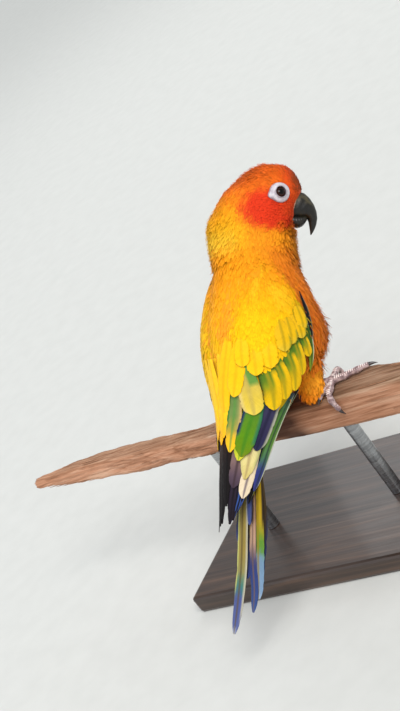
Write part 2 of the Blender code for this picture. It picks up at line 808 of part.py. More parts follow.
def claw_bmesh(start, direction, towards):
    """A hooked claw that leaves a toe's end and bends towards the timber."""
    steps = 5
    path = [start]
    radii = [CLAW_RADIUS]
    hinge = direction.cross(towards).normalized()
    for k in range(1, steps + 1):
        turn = Matrix.Rotation(math.radians(CLAW_BEND * (k - 0.5) / steps), 3, hinge)
        path.append(path[-1] + (turn @ direction) * CLAW_LENGTH / steps)
        radii.append(CLAW_RADIUS * (1.0 - 0.9 * (k / steps) ** 1.3))
    return tube_bmesh(path, radii, 7, up=hinge)


def make_leg(side, outward, materials, bird, timber):
    """Thigh, foot with four toes, and four claws of one side."""
    foot_x = outward * FOOT_SPACING / 2
    bird_to_timber = bird_matrix()

    mirror = Vector((1.0, outward, 1.0))
    shank_top = (bird_to_timber @ (Vector(SHANK_TOP) * mirror * MM)) / MM
    ankle = Vector((foot_x, 0.0, FOOT_HEIGHT))
    shank = [shank_top.lerp(ankle, t) for t in (0.0, 0.5, 1.0)]
    foot = add_object("foot_" + side, tube_bmesh(shank, (SHANK_RADIUS,) * 3, TOE_SIDES), materials["skin"], timber)
    pieces = [add_object("ball", sphere_bmesh(BALL_RADIUS, ankle, UP, 10, 8), None, timber)]
    clearance = 1.3 * GAP
    cutters = [add_object("cutter", sphere_bmesh(BALL_RADIUS + clearance, ankle, UP, 10, 8), None, timber)]
    for toe in TOES:
        runs = spread(0.4, toe.length, len(TOE_RADII))
        path = [toe_point(foot_x, outward, toe, run) for run in runs]
        pieces.append(add_object("toe", tube_bmesh(path, TOE_RADII, TOE_SIDES), None, timber))
        wide = [radius + clearance for radius in TOE_RADII]
        cutters.append(add_object("cutter", tube_bmesh(path, wide, TOE_SIDES), None, timber))
        direction = (path[-1] - path[-2]).normalized()
        beyond = toe_point(foot_x, outward, toe, toe.length + 8.0)
        towards = (beyond - path[-1]).normalized()
        if abs(towards.dot(direction)) > 0.98:
            inward = Vector((0.0, -math.copysign(1.0, path[-1].y), 0.0))
            towards = Vector((0.0, 0.0, -1.0)) if path[-1].z > 0 else inward
        claw = claw_bmesh(path[-1] + direction * GAP, direction, towards)
        add_object(f"claw_{side}_{toe.number}", claw, materials["claw"], timber)
    join_pieces(foot, pieces)

    thigh_path = [Vector(p) * mirror for p in THIGH_PATH]
    thigh = tube_bmesh(thigh_path, THIGH_RADII, 16, up=Vector((1.0, 0.0, 0.0)))
    item = add_object("thigh_" + side, thigh, materials["breast"], bird)
    lead = (shank[0] - shank[-1]).normalized()
    socket_path = [shank[0] + lead * GAP, shank[-1]]
    socket = tube_bmesh(socket_path, (SHANK_RADIUS + clearance,) * 2, TOE_SIDES)
    heights = spread(TORSO_BOTTOM, TORSO_TOP, 22)
    torso = add_object("cutter", loft_bmesh(BODY, heights, 36, GAP + 0.1), None, bird)
    cut(item, [torso, add_object("cutter", socket, None, timber), *cutters])


def make_perch(materials, parent):
    """A cut length of rough timber, ragged and thinner at its far end."""
    random.seed(7)
    bm = bmesh.new()
    rings = []
    chamfer = PERCH_CHAMFER
    for section in TIMBER:
        rough = 0.0 if abs(section.x) < PERCH_EVEN else PERCH_ROUGHNESS
        middle = (section.front + section.back) / 2
        waist = (section.top + section.bottom) / 2
        front, back, top, bottom = section.front, section.back, section.top, section.bottom
        corners = (
            (back - chamfer, top), (back, top - chamfer), (back, waist), (back, bottom + chamfer),
            (back - chamfer, bottom), (middle, bottom), (front + chamfer, bottom), (front, bottom + chamfer),
            (front, waist), (front, top - chamfer), (front + chamfer, top), (middle, top),
        )
        ring = []
        for y, z in corners:
            offset = Vector([random.uniform(-rough, rough) for _ in range(3)])
            ring.append(bm.verts.new(Vector((section.x, y, z)) + offset))
        rings.append(ring)
    bridge(bm, rings)
    return add_object("perch", bm, materials["timber"], parent, 30.0)


def make_stand(materials, parent):
    """A flat base and two short rods up to the timber."""
    bm = bmesh.new()
    bmesh.ops.create_cube(bm, size=1.0)
    bmesh.ops.scale(bm, vec=(BASE_LENGTH, BASE_WIDTH, BASE_THICKNESS), verts=bm.verts)
    base = add_object("stand_base", bm, materials["base"], parent)
    base.location = Vector((BASE_CENTRE_X, 0.0, BASE_THICKNESS / 2 - PERCH_TOP)) * MM
    bevel = base.modifiers.new("bevel", "BEVEL")
    bevel.width = BASE_BEVEL * MM
    bevel.segments = 2
    for number, sign in ((1, -1.0), (2, 1.0)):
        x = BASE_CENTRE_X + sign * ROD_SPACING / 2
        section = timber_at(x)
        y = (section.front + section.back) / 2
        top = section.bottom - PERCH_ROUGHNESS - GAP
        bottom = BASE_THICKNESS - PERCH_TOP + GAP
        path = [Vector((x, y, bottom)), Vector((x, y, top))]
        rod = tube_bmesh(path, (ROD_RADIUS,) * 2, 24, up=Vector((0.0, 1.0, 0.0)))
        add_object(f"stand_rod_{number}", rod, materials["rod"], parent)


def centre_footprint(root):
    """Move the whole part so that the origin is under the middle of its box."""
    bpy.context.view_layer.update()
    low = Vector((1e9, 1e9, 1e9))
    high = -low
    for item in bpy.data.objects:
        if item.type != "MESH":
            continue
        for vert in item.data.vertices:
            point = item.matrix_world @ vert.co
            low = Vector(map(min, low, point))
            high = Vector(map(max, high, point))
    middle = (low + high) / 2
    root.location = (-middle.x, -middle.y, 0.0)
    bpy.context.view_layer.update()


def make_materials():
    """One material for each kind of surface."""
    return {
        "face": make_material("face", "E5451E", 0.7),
        "nape": make_material("nape", "F7941D", 0.7),
        "breast": make_material("breast", "E9701A", 0.7),
        "wing": make_material("wing", "F2C216", 0.6),
        "tail": make_material("tail", "7A7A22", 0.6),
        "bill": make_material("bill", "2B2A2C", 0.3),
        "eye": make_material("eye", "1A0F0B", 0.08),
        "skin": make_material("skin", "B79A94", 0.6),
        "claw": make_material("claw", "3A3334", 0.35),
        "timber": make_material("timber", "A9744F", 0.85),
        "base": make_material("base", "3B2E27", 0.5),
        "rod": make_material("rod", "8D8F92", 0.3, 1.0),
    }


def main():
    """Build the bird, its perch and its stand."""
    clear_scene()
    materials = make_materials()
    root = add_empty("footprint")
    timber = add_empty("perch_frame", root, Matrix.Translation((0.0, 0.0, PERCH_TOP * MM)))
    bird = add_empty("bird_frame", timber, bird_matrix())
    bpy.context.view_layer.update()
    make_body(materials, bird)
    make_head(materials, bird)
    for side, mirror in (("right", 1.0), ("left", -1.0)):
        make_wing(side, mirror, materials["wing"], bird)
    make_tail(materials["tail"], bird)
    for side, outward in (("right", -1.0), ("left", 1.0)):
        make_leg(side, outward, materials, bird, timber)
    make_perch(materials, timber)
    make_stand(materials, timber)
    centre_footprint(root)


main()
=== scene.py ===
"""Looks of a life-size sun conure that grips a cut length of timber on a plain display stand.

The bird is shaped in millimetres in its own frame, the one that its solids use: x to the breast, y to the
bird's left, z from the tail tip to the crown. The timber and feet are shaped in the perch frame, whose axes are
the world's and whose origin is on the timber midway between the feet. Meshes are moved to metres at the end.
"""

import logging
import math
from dataclasses import dataclass, field
from enum import Enum, IntEnum
from typing import Callable, Optional, Sequence

import bmesh
import bpy
import numpy as np
from bmesh.types import BMesh
from bpy.types import Material, Mesh, Node, NodeSocket, NodeTree, Object
from mathutils import Matrix, Vector, noise
from mathutils.bvhtree import BVHTree
from numpy import ndarray as Array


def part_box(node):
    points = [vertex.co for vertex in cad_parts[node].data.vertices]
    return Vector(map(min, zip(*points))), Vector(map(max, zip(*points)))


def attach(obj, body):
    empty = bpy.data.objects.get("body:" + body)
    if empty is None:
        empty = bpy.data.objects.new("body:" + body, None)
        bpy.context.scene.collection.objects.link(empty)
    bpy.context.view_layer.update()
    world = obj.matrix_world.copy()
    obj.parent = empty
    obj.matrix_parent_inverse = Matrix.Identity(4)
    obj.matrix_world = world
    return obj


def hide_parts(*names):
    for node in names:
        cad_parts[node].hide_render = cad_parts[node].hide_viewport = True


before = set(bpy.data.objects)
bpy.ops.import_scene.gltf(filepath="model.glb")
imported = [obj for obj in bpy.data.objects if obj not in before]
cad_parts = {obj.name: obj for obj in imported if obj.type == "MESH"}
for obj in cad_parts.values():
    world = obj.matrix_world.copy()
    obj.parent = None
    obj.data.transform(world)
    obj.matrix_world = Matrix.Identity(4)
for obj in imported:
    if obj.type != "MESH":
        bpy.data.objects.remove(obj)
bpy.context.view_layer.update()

log = logging.getLogger("sun_conure")
Stops = Sequence[tuple[float, str]]

MM = 0.001
BODY_PITCH = 45.0
BODY_YAW = 17.0
HEAD_TURN = 35.0
FEET_MIDDLE = (32.2, -0.2, 133.0)
FOOT_SPACING = 40.0
PERCH_TOP = 92.0
BASE_CENTRE_X = 34.0
COAT_DEPTH = 1.2             # the skin lies this far inside the solids


# Colours


def linear(value: str) -> Array:
    """Turn a six-digit sRGB hex colour into linear light."""
    channels = np.array([int(value[i:i + 2], 16) / 255.0 for i in (0, 2, 4)])
    return np.where(channels <= 0.04045, channels / 12.92, ((channels + 0.055) / 1.055) ** 2.4)


def rgba(value: str) -> tuple[float, ...]:
    """Give a hex colour as the four linear values that a socket takes."""
    return (*(float(c) for c in linear(value)), 1.0)


def smoothstep(low: float, high: float, value: Array) -> Array:
    """Rise smoothly from 0 at low to 1 at high."""
    t = np.clip((value - low) / (high - low), 0.0, 1.0)
    return t * t * (3.0 - 2.0 * t)


def band(value: Array, rise: tuple[float, float], fall: tuple[float, float]) -> Array:
    """Rise smoothly over one stretch of a value and fall over another."""
    return smoothstep(*rise, value) * smoothstep(*fall, value)


def mixed(first: Array, second: Array, share: Array) -> Array:
    """Blend rows of colours by a share for each row."""
    share = np.asarray(share)[..., None]
    return first * (1.0 - share) + second * share


def toned(colours: Array, value: str, share: Array) -> Array:
    """Blend rows of colours towards one hex colour by a share for each row."""
    return mixed(colours, linear(value), share)


def ramp(stops: Stops, at: Array) -> Array:
    """Read rising stops smoothly, as linear colours along the last axis."""
    values = np.array([linear(colour) for _, colour in stops])
    return np.stack([np.interp(at, [place for place, _ in stops], values[:, c]) for c in range(3)], axis=-1)


# Frames


class BirdFrame:
    """Where the bird and the perch stand in the world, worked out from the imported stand."""

    def __init__(self) -> None:
        """Read the stand's place and set both frames."""
        low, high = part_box("stand_base")
        self.origin = np.array(
            [(low.x + high.x) / 2 - BASE_CENTRE_X * MM, (low.y + high.y) / 2, PERCH_TOP * MM]
        )
        yaw = math.radians(BODY_YAW)
        pitch = math.radians(BODY_PITCH)
        forward = np.array([-math.sin(yaw), -math.cos(yaw), 0.0])
        up = np.array([0.0, 0.0, 1.0])
        axis = forward * math.cos(pitch) + up * math.sin(pitch)
        breast = forward * math.sin(pitch) - up * math.cos(pitch)
        self.spin = np.stack([breast, np.cross(axis, breast), axis], axis=1)

    def bird(self, points: Array) -> Array:
        """Move bird frame points, in millimetres, to the world, in metres."""
        return self.origin + (np.asarray(points, float) - FEET_MIDDLE) @ self.spin.T * MM

    def perch(self, points: Array) -> Array:
        """Move perch frame points, in millimetres, to the world, in metres."""
        return self.origin + np.asarray(points, float) * MM

    def bird_to_perch(self, points: Array) -> Array:
        """Move bird frame points to the perch frame, both in millimetres."""
        return (np.asarray(points, float) - FEET_MIDDLE) @ self.spin.T


bird_frame = BirdFrame()


def unit(vectors: Array) -> Array:
    """Scale vectors to a length of 1."""
    return vectors / np.maximum(np.linalg.norm(vectors, axis=-1, keepdims=True), 1e-9)


def turned(points: Array, degrees: Array) -> Array:
    """Turn points about z by one angle, or by one each."""
    x, y, z = np.moveaxis(np.asarray(points, float), -1, 0)
    t = np.radians(degrees)
    return np.stack([x * np.cos(t) - y * np.sin(t), x * np.sin(t) + y * np.cos(t), z], axis=-1)


def head_turned(points: Array, sign: float = 1.0) -> Array:
    """Turn points from the head's own axes to the bird frame, or back with a sign of -1."""
    return turned(points, -HEAD_TURN * sign)


# Lofts that the solids share


@dataclass(frozen=True)
class Station:
    """One cross-section of the body: an ellipse square to the body axis."""

    z: float
    centre: float
    depth: float
    width: float
    turn: float = 0.0


def smooth(keys: Sequence[float], values: Sequence[float], at: float) -> float:
    """Read a cubic through all points, with slopes from each point's neighbours.

    Args:
        keys: Rising keys.
        values: The value at each key.
        at: The key to read.

    Returns:
        The value there.
    """
    if at <= keys[0]:
        return values[0]
    if at >= keys[-1]:
        return values[-1]
    i = max(k for k in range(len(keys) - 1) if keys[k] <= at)

    def slope(k: int) -> float:
        """Give the slope through a key's neighbours."""
        low, high = max(k - 1, 0), min(k + 1, len(keys) - 1)
        return (values[high] - values[low]) / (keys[high] - keys[low])

    span = keys[i + 1] - keys[i]
    t = (at - keys[i]) / span
    return (
        (2 * t**3 - 3 * t**2 + 1) * values[i]
        + (t**3 - 2 * t**2 + t) * span * slope(i)
        + (3 * t**2 - 2 * t**3) * values[i + 1]
        + (t**3 - t**2) * span * slope(i + 1)
    )


class Curve:
    """A smooth curve through pairs of key and value, read at many keys at once."""

    samples: int = 400

    def __init__(self, pairs: Sequence[tuple[float, float]]) -> None:
        """Sample the curve through pairs with rising keys."""
        keys, values = zip(*pairs)
        self.keys = np.linspace(keys[0], keys[-1], self.samples)
        self.values = np.array([smooth(keys, values, k) for k in self.keys])

    def __call__(self, at: Array) -> Array:
        """Read the curve."""
        return np.interp(at, self.keys, self.values)


class Loft:
    """A lofted surface read by height and angle: 0 is the breast, 90 the bird's right, 180 its back."""

    def __init__(self, stations: Sequence[Station]) -> None:
        """Keep one curve for each of the stations' fields."""
        self.centre, self.depth, self.width, self.turn = (
            Curve([(s.z, getattr(s, name)) for s in stations])
            for name in ("centre", "depth", "width", "turn")
        )

    def point(self, z: Array, angle: Array, out: Array = 0.0) -> Array:
        """Give points of the surface.

        Args:
            z: Heights.
            angle: Angles in degrees.
            out: Distance outside the surface.

        Returns:
            Points along the last axis.
        """
        z, angle, out = np.broadcast_arrays(np.asarray(z, float), np.asarray(angle, float), out)
        a = np.radians(angle)
        x = self.centre(z) + (self.depth(z) + out) * np.cos(a)
        y = -(self.width(z) + out) * np.sin(a)
        return turned(np.stack([x, y, z], axis=-1), -self.turn(z))

    def locate(self, points: Array) -> tuple[Array, Array]:
        """Find points round the loft.

        Args:
            points: Bird frame points.

        Returns:
            Angles from -180 to 180 degrees, and distances as shares of the loft's own.
        """
        x, y, z = np.moveaxis(turned(points, self.turn(points[..., 2])), -1, 0)
        ahead = (x - self.centre(z)) / self.depth(z)
        aside = -y / self.width(z)
        return np.degrees(np.arctan2(aside, ahead)), np.hypot(ahead, aside)

    def aside(self, points: Array) -> Array:
        """Give how far round from the breast points are, 0 to 180 degrees."""
        return np.abs(self.locate(points)[0])

    def normal(self, z: Array, angle: Array) -> Array:
        """Give the outward direction at points of the surface."""
        step = 0.5
        along = self.point(z + step, angle) - self.point(z - step, angle)
        around = self.point(z, angle + step) - self.point(z, angle - step)
        out = np.cross(along, around)
        return out / np.linalg.norm(out, axis=-1, keepdims=True)

BODY = (
    Station(99.0, -9.6, 6.6, 10.4),
    Station(108.0, -9.0, 10.4, 13.8),
    Station(118.0, -7.0, 15.0, 18.0),
    Station(128.0, -4.0, 21.0, 22.0),
    Station(141.0, 0.0, 28.0, 26.0),
    Station(153.0, 1.5, 32.5, 27.8),
    Station(165.0, 2.0, 34.2, 28.3),
    Station(178.0, 1.0, 32.2, 27.5),
    Station(190.0, -1.0, 28.6, 25.0),
    Station(200.0, -3.5, 25.4, 22.3),
    Station(208.0, -5.3, 23.9, 20.4, 10.0),
    Station(216.0, -5.8, 23.7, 19.4, 22.0),
    Station(225.0, -5.7, 24.0, 19.0, HEAD_TURN),
    Station(235.0, -3.2, 23.0, 18.6, HEAD_TURN),
    Station(243.0, 0.4, 22.3, 18.0, HEAD_TURN),
    Station(247.0, 2.4, 20.2, 16.8, HEAD_TURN),
    Station(250.5, 3.8, 17.4, 14.8, HEAD_TURN),
    Station(253.5, 4.6, 14.2, 12.3, HEAD_TURN),
    Station(256.0, 5.0, 10.8, 9.5, HEAD_TURN),
    Station(258.0, 5.2, 6.6, 6.0, HEAD_TURN),
)
WING_CLEAR = 0.6
WING_BED = (
    Station(52.0, -18.0, 4.0, 7.0),
    Station(66.0, -17.0, 5.0, 8.4),
    Station(79.0, -16.0, 7.0, 10.6),
    Station(90.0, -13.6, 9.2, 12.8),
    Station(104.0, -10.8, 12.0, 14.8),
    Station(116.0, -7.9, 15.6, 18.4),
) + tuple(
    Station(s.z, s.centre, s.depth + WING_CLEAR, s.width + WING_CLEAR)
    for s in BODY
    if 117.0 < s.z < 209.0
)
TAIL_ROOT = (
    Station(72.0, -8.0, 1.8, 8.6),
    Station(86.0, -8.6, 3.6, 9.4),
    Station(100.0, -9.6, 6.6, 10.3),
)
body_loft = Loft(BODY)
wing_bed = Loft(WING_BED)
tail_loft = Loft(TAIL_ROOT)

WING_FRONT = Curve((
    (57.0, 104.0), (79.0, 88.0), (92.0, 72.0), (104.0, 66.0), (118.0, 67.0), (131.0, 76.0), (142.0, 80.0),
    (156.0, 78.0), (168.0, 78.0), (180.0, 82.0), (191.0, 90.0), (201.0, 106.0),
))
WING_BACK = Curve((
    (57.0, 136.0), (79.0, 150.0), (104.0, 161.0), (131.0, 160.0), (156.0, 156.0), (180.0, 149.0),
    (191.0, 140.0), (201.0, 122.0),
))
WING_DEPTH = Curve((
    (57.0, 0.8), (79.0, 1.4), (104.0, 2.0), (112.0, 2.4), (125.0, 3.6), (142.0, 4.6), (160.0, 4.8),
    (180.0, 4.0), (193.0, 2.6), (201.0, 0.9),
))
WING_RIM = 0.3
WING_DRIFT = 5.0
WING_DRIFT_FROM = 118.0


def wing_drift(z: Array) -> Array:
    """Give the sideways lean of the folded wings towards their tips."""
    down = np.clip((WING_DRIFT_FROM - z) / (WING_DRIFT_FROM - WING_BED[0].z), 0.0, None)
    return (WING_DRIFT * down**1.5)[..., None] * np.array([0.0, 1.0, 0.0])


def shoulder_share(z: Array) -> Array:
    """Give how far the left wing stands out: its shoulder lies closer to the body than the right one's."""
    return 1.0 - 0.6 * smoothstep(152.0, 176.0, z)


def belly_tuck(z: Array, angle: Array) -> Array:
    """Give how far the belly draws in between breast and thighs, in millimetres."""
    aside = np.abs((angle + 180.0) % 360.0 - 180.0)
    return 4.6 * smoothstep(160.0, 145.0, z) * smoothstep(118.0, 132.0, z) * smoothstep(84.0, 60.0, aside)


def leaned(facing: Array, true: Array) -> Array:
    """Turn shading directions back towards the true ones where they stray too far from them."""
    short = np.maximum(0.0, 0.45 - (facing * true).sum(axis=-1, keepdims=True))
    return unit(facing + true * short * 1.6)


# Mesh helpers


def linked(data: bpy.types.ID) -> Object:
    """Put a mesh, light or camera in the scene as an object of its own name."""
    item = bpy.data.objects.new(data.name, data)
    bpy.context.scene.collection.objects.link(item)
    return item


def finished(mesh: Mesh, material: Material) -> Object:
    """Put a mesh in the scene, smooth and with its finish."""
    mesh.shade_smooth()
    mesh.materials.append(material)
    return linked(mesh)


def add_piece(name: str, points: Array, faces: Array, material: Material) -> Object:
    """Make an object at the origin from world points and faces of equal size.

    Args:
        name: The piece's name.
        points: World points in metres.
        faces: Vertex numbers, one row for each face.
        material: Its finish.

    Returns:
        The new object.
    """
    mesh = bpy.data.meshes.new(name)
    count, corners = faces.shape
    mesh.vertices.add(len(points))
    mesh.vertices.foreach_set("co", np.ascontiguousarray(points, np.float32).ravel())
    mesh.loops.add(count * corners)
    mesh.loops.foreach_set("vertex_index", np.ascontiguousarray(faces, np.int32).ravel())
    mesh.polygons.add(count)
    mesh.polygons.foreach_set("loop_start", np.arange(0, count * corners, corners, dtype=np.int32))
    mesh.update(calc_edges=True)
    return finished(mesh, material)


def add_bmesh(name: str, bm: BMesh, material: Material, place: Callable[[Array], Array]) -> Object:
    """Make an object at the origin from a bmesh shaped in millimetres.

    Args:
        name: The piece's name.
        bm: The shape, which is freed.
        material: Its finish.
        place: Moves its points to the world.

    Returns:
        The new object.
    """
    bmesh.ops.recalc_face_normals(bm, faces=bm.faces)
    for vert in bm.verts:
        vert.co = Vector(place(np.array(vert.co)))
    mesh = bpy.data.meshes.new(name)
    bm.to_mesh(mesh)
    bm.free()
    return finished(mesh, material)


def grid_faces(rows: int, columns: int) -> Array:
    """Give the quads between rows of points that each close on themselves, one row of numbers for each."""
    r, c = (v.ravel() for v in np.meshgrid(np.arange(rows - 1), np.arange(columns), indexing="ij"))
    n = (c + 1) % columns
    return np.stack([r * columns + c, r * columns + n, (r + 1) * columns + n, (r + 1) * columns + c], axis=1)


def loft_bmesh(rings: Array, bm: Optional[BMesh] = None, closed: bool = False) -> BMesh:
    """Join rings of points into a body.

    Args:
        rings: Points as rings, ring places and x, y, z.
        bm: A bmesh to add to.
        closed: Joins the last ring to the first, instead of a pole at each end.

    Returns:
        The bmesh.
    """
    bm = bm or bmesh.new()
    made = [[bm.verts.new(p) for p in ring] for ring in rings]
    for low, high in zip(made, made[1:] + (made[:1] if closed else [])):
        for i in range(len(low)):
            j = (i + 1) % len(low)
            bm.faces.new((low[i], low[j], high[j], high[i]))
    for end in () if closed else (0, -1):
        ring = made[end]
        pole = bm.verts.new(rings[end].mean(axis=0))
        for i in range(len(ring)):
            bm.faces.new((ring[i], ring[(i + 1) % len(ring)], pole))
    return bm


def tube_rings(path: Array, radii: Array, sides: int, up: Array, closed: bool = False) -> Array:
    """Give the rings of a tube along a path.

    Args:
        path: Points along the middle.
        radii: A radius for each point, or one for all.
        sides: Points in each ring.
        up: A direction that is never along the path.
        closed: Whether the path ends where it starts.

    Returns:
        Points as rings, ring places and x, y, z.
    """
    along = unit(np.roll(path, -1, axis=0) - np.roll(path, 1, axis=0) if closed else np.gradient(path, axis=0))
    side = unit(np.cross(along, up))
    top = np.cross(side, along)
    angle = np.arange(sides) / sides * math.tau
    ring = side[:, None] * np.cos(angle)[None, :, None] + top[:, None] * np.sin(angle)[None, :, None]
    return path[:, None] + ring * np.broadcast_to(radii, len(path))[:, None, None]


def apply_modifiers(item: Object, material: Optional[Material] = None) -> None:
    """Replace an object's mesh by its evaluated one, which keeps its finish or gets it."""
    graph = bpy.context.evaluated_depsgraph_get()
    mesh = bpy.data.meshes.new_from_object(item.evaluated_get(graph))
    item.modifiers.clear()
    item.data = mesh
    if material and not mesh.materials:
        mesh.materials.append(material)


def join_forms(item: Object, voxel: float, passes: int, material: Optional[Material] = None) -> None:
    """Remesh an object's overlapping forms into one evened surface.

    Args:
        item: The object.
        voxel: The fineness, in the mesh's own unit.
        passes: How often the surface is evened.
        material: Its finish.
    """
    remesh = item.modifiers.new("join", "REMESH")
    remesh.mode = "VOXEL"
    remesh.voxel_size = voxel
    evener = item.modifiers.new("even", "SMOOTH")
    evener.factor = 0.5
    evener.iterations = passes
    apply_modifiers(item, material)


def set_values(item: Object, name: str, values: Array) -> Object:
    """Store a number for each point of a piece, or one for all, and give the piece back."""
    layer = item.data.attributes.new(name, "FLOAT", "POINT")
    layer.data.foreach_set("value", np.full(len(item.data.vertices), values, np.float32))
    return item


def mark_feathers(
    item: Object, colours: Array, vane: Array, bake: Optional[Array] = None, facing: Optional[Array] = None
) -> Object:
    """Store what the feather finish, the shading and the bake read.

    Args:
        item: The piece.
        colours: A linear colour for each point, kept as the attribute "plumage".
        vane: Places on the vanes in millimetres, kept as the map "vane".
        bake: Places on the bake's own map.
        facing: Directions for the shading, in the bird frame.

    Returns:
        The piece.
    """
    mesh = item.data
    values = np.ones((len(mesh.vertices), 4), np.float32)
    values[:, :3] = np.clip(colours.reshape(-1, 3), 0.0, 1.0)
    mesh.color_attributes.new("plumage", "FLOAT_COLOR", "POINT").data.foreach_set("color", values.ravel())
    numbers = np.empty(len(mesh.loops), np.int32)
    mesh.loops.foreach_get("vertex_index", numbers)
    for name, places in (("OFBake", bake), ("vane", vane)):
        if places is not None:
            spots = np.ascontiguousarray(places.reshape(-1, 2)[numbers], np.float32)
            mesh.uv_layers.new(name=name).data.foreach_set("uv", spots.ravel())
    mesh.uv_layers["vane"].active_render = True
    if facing is not None:
        mesh.normals_split_custom_set_from_vertices(facing.reshape(-1, 3) @ bird_frame.spin.T)
    return item


# Finishes


def wire(node: Node, inputs: dict) -> Node:
    """Set a node's inputs.

    Args:
        node: The node.
        inputs: A value, or another node's output socket, by input name or number.

    Returns:
        The same node.
    """
    for key, value in inputs.items():
        if isinstance(value, NodeSocket):
            node.id_data.links.new(value, node.inputs[key])
        else:
            node.inputs[key].default_value = value
    return node


def add_node(tree: NodeTree, kind: str, inputs: Optional[dict] = None, **settings: object) -> Node:
    """Add a node with its inputs and settings.

    Args:
        tree: The tree that the node joins.
        kind: The node's type name.
        inputs: A value, or another node's output socket, by input name or number.
        **settings: Properties of the node itself.

    Returns:
        The new node.
    """
    made = tree.nodes.new(kind)
    for key, value in settings.items():
        setattr(made, key, value)
    return wire(made, inputs or {})


class Recipe:
    """A material in the making, with the steps that several materials share."""

    def __init__(self, name: str) -> None:
        """Start a material that has a Principled shader."""
        self.material = bpy.data.materials.new(name)
        self.material.use_nodes = True
        self.tree = self.material.node_tree

    def add(
        self, kind: str, inputs: Optional[dict] = None, output: object = 0, **settings: object
    ) -> NodeSocket:
        """Add a node and give one of its outputs."""
        return add_node(self.tree, kind, inputs, **settings).outputs[output]

    def maths(self, operation: str, *values: object) -> NodeSocket:
        """Add a Math node."""
        return self.add("ShaderNodeMath", dict(enumerate(values)), operation=operation)

    def scaled(self, place: NodeSocket, by: tuple) -> NodeSocket:
        """Multiply a vector."""
        return self.add("ShaderNodeVectorMath", {0: place, 1: by}, operation="MULTIPLY")

    def ranged(self, value: NodeSocket, low: float, high: float, *to: float) -> NodeSocket:
        """Map a value from one range to another, or to 0 to 1."""
        ends = dict(zip(("To Min", "To Max"), to))
        return self.add("ShaderNodeMapRange", {"Value": value, "From Min": low, "From Max": high, **ends})

    def stored(self, name: str, output: str = "Fac") -> NodeSocket:
        """Read an attribute of the mesh."""
        return self.add("ShaderNodeAttribute", output=output, attribute_name=name)

    def speckle(self, scale: float, detail: float) -> NodeSocket:
        """Add noise on Object coordinates, even along all axes."""
        place = self.add("ShaderNodeTexCoord", output="Object")
        return self.add("ShaderNodeTexNoise", {"Vector": place, "Scale": scale, "Detail": detail}, "Fac")

    def grain(self, lengths: tuple, detail: float, distortion: float = 0.0) -> NodeSocket:
        """Add noise on Object coordinates, of given lengths along x, y and z in millimetres."""
        place = self.scaled(self.add("ShaderNodeTexCoord", output="Object"), tuple(1000.0 / g for g in lengths))
        inputs = {"Vector": place, "Scale": 1.0, "Detail": detail, "Distortion": distortion}
        return self.add("ShaderNodeTexNoise", inputs, "Fac")

    def coloured(self, value: NodeSocket, stops: Stops) -> NodeSocket:
        """Colour a value by rising stops."""
        made = add_node(self.tree, "ShaderNodeValToRGB", {"Fac": value})
        elements = made.color_ramp.elements
        elements.remove(elements[-1])
        elements[0].position, elements[0].color = stops[0][0], rgba(stops[0][1])
        for place, colour in stops[1:]:
            elements.new(place).color = rgba(colour)
        return made.outputs["Color"]

    def blended(self, share: NodeSocket, first: NodeSocket, second: object) -> NodeSocket:
        """Blend two colours."""
        return self.add("ShaderNodeMix", {0: share, 6: first, 7: second}, 2, data_type="RGBA")

    def bump(self, height: NodeSocket, strength: float, distance: float) -> NodeSocket:
        """Turn a height into a shading direction."""
        return self.add("ShaderNodeBump", {"Height": height, "Strength": strength, "Distance": distance})

    def done(self, inputs: dict) -> Material:
        """Set the shader's inputs and give the material."""
        wire(self.tree.nodes["Principled BSDF"], inputs)
        return self.material


@dataclass(frozen=True)
class FeatherFinish:
    """Keratin feather vanes, grown: barbs comb the colour, and the web scatters light like matt cloth."""

    name: str
    pitch: float             # distance between drawn barbs, in millimetres
    roughness: float
    relief: float
    contrast: float          # how far the barbs vary the colour

    def build(self) -> Material:
        """Make the material.

        Returns:
            A material that reads the colours on the mesh and the map "vane", in millimetres.
        """
        recipe = Recipe(self.name)
        spot = recipe.add("ShaderNodeUVMap", uv_map="vane")
        place = add_node(recipe.tree, "ShaderNodeSeparateXYZ", {0: spot})
        across = recipe.maths("ABSOLUTE", place.outputs["X"])
        # Barbs leave the shaft at about 35 degrees
        slant = recipe.maths("MULTIPLY_ADD", across, -1.4, place.outputs["Y"])
        # One band of a Wave texture is 0.314 of a unit long at scale 1
        barb_place = recipe.add("ShaderNodeCombineXYZ", {"X": slant})
        inputs = {"Vector": barb_place, "Scale": 0.314 / self.pitch, "Distortion": 1.2, "Detail": 1.0}
        wave = recipe.add("ShaderNodeTexWave", inputs, "Fac")
        slanted = recipe.add("ShaderNodeCombineXYZ", {"X": slant, "Y": across})
        inputs = {"Vector": recipe.scaled(slanted, (1.1, 0.35, 1.0)), "Scale": 1.0, "Detail": 3.0}
        streak = recipe.add("ShaderNodeTexNoise", inputs, "Fac")
        tone = recipe.maths("MULTIPLY_ADD", wave, 0.45, streak)
        shade = recipe.ranged(tone, 0.3, 1.1, 1.0 - self.contrast, 1.0 + self.contrast * 0.6)
        return recipe.done({
            "Base Color": recipe.scaled(recipe.stored("plumage", "Color"), shade),
            "Normal": recipe.bump(tone, self.relief, 0.0002), "Roughness": self.roughness,
            "Specular IOR Level": 0.1, "Sheen Weight": 0.06, "Sheen Roughness": 0.4,
        })


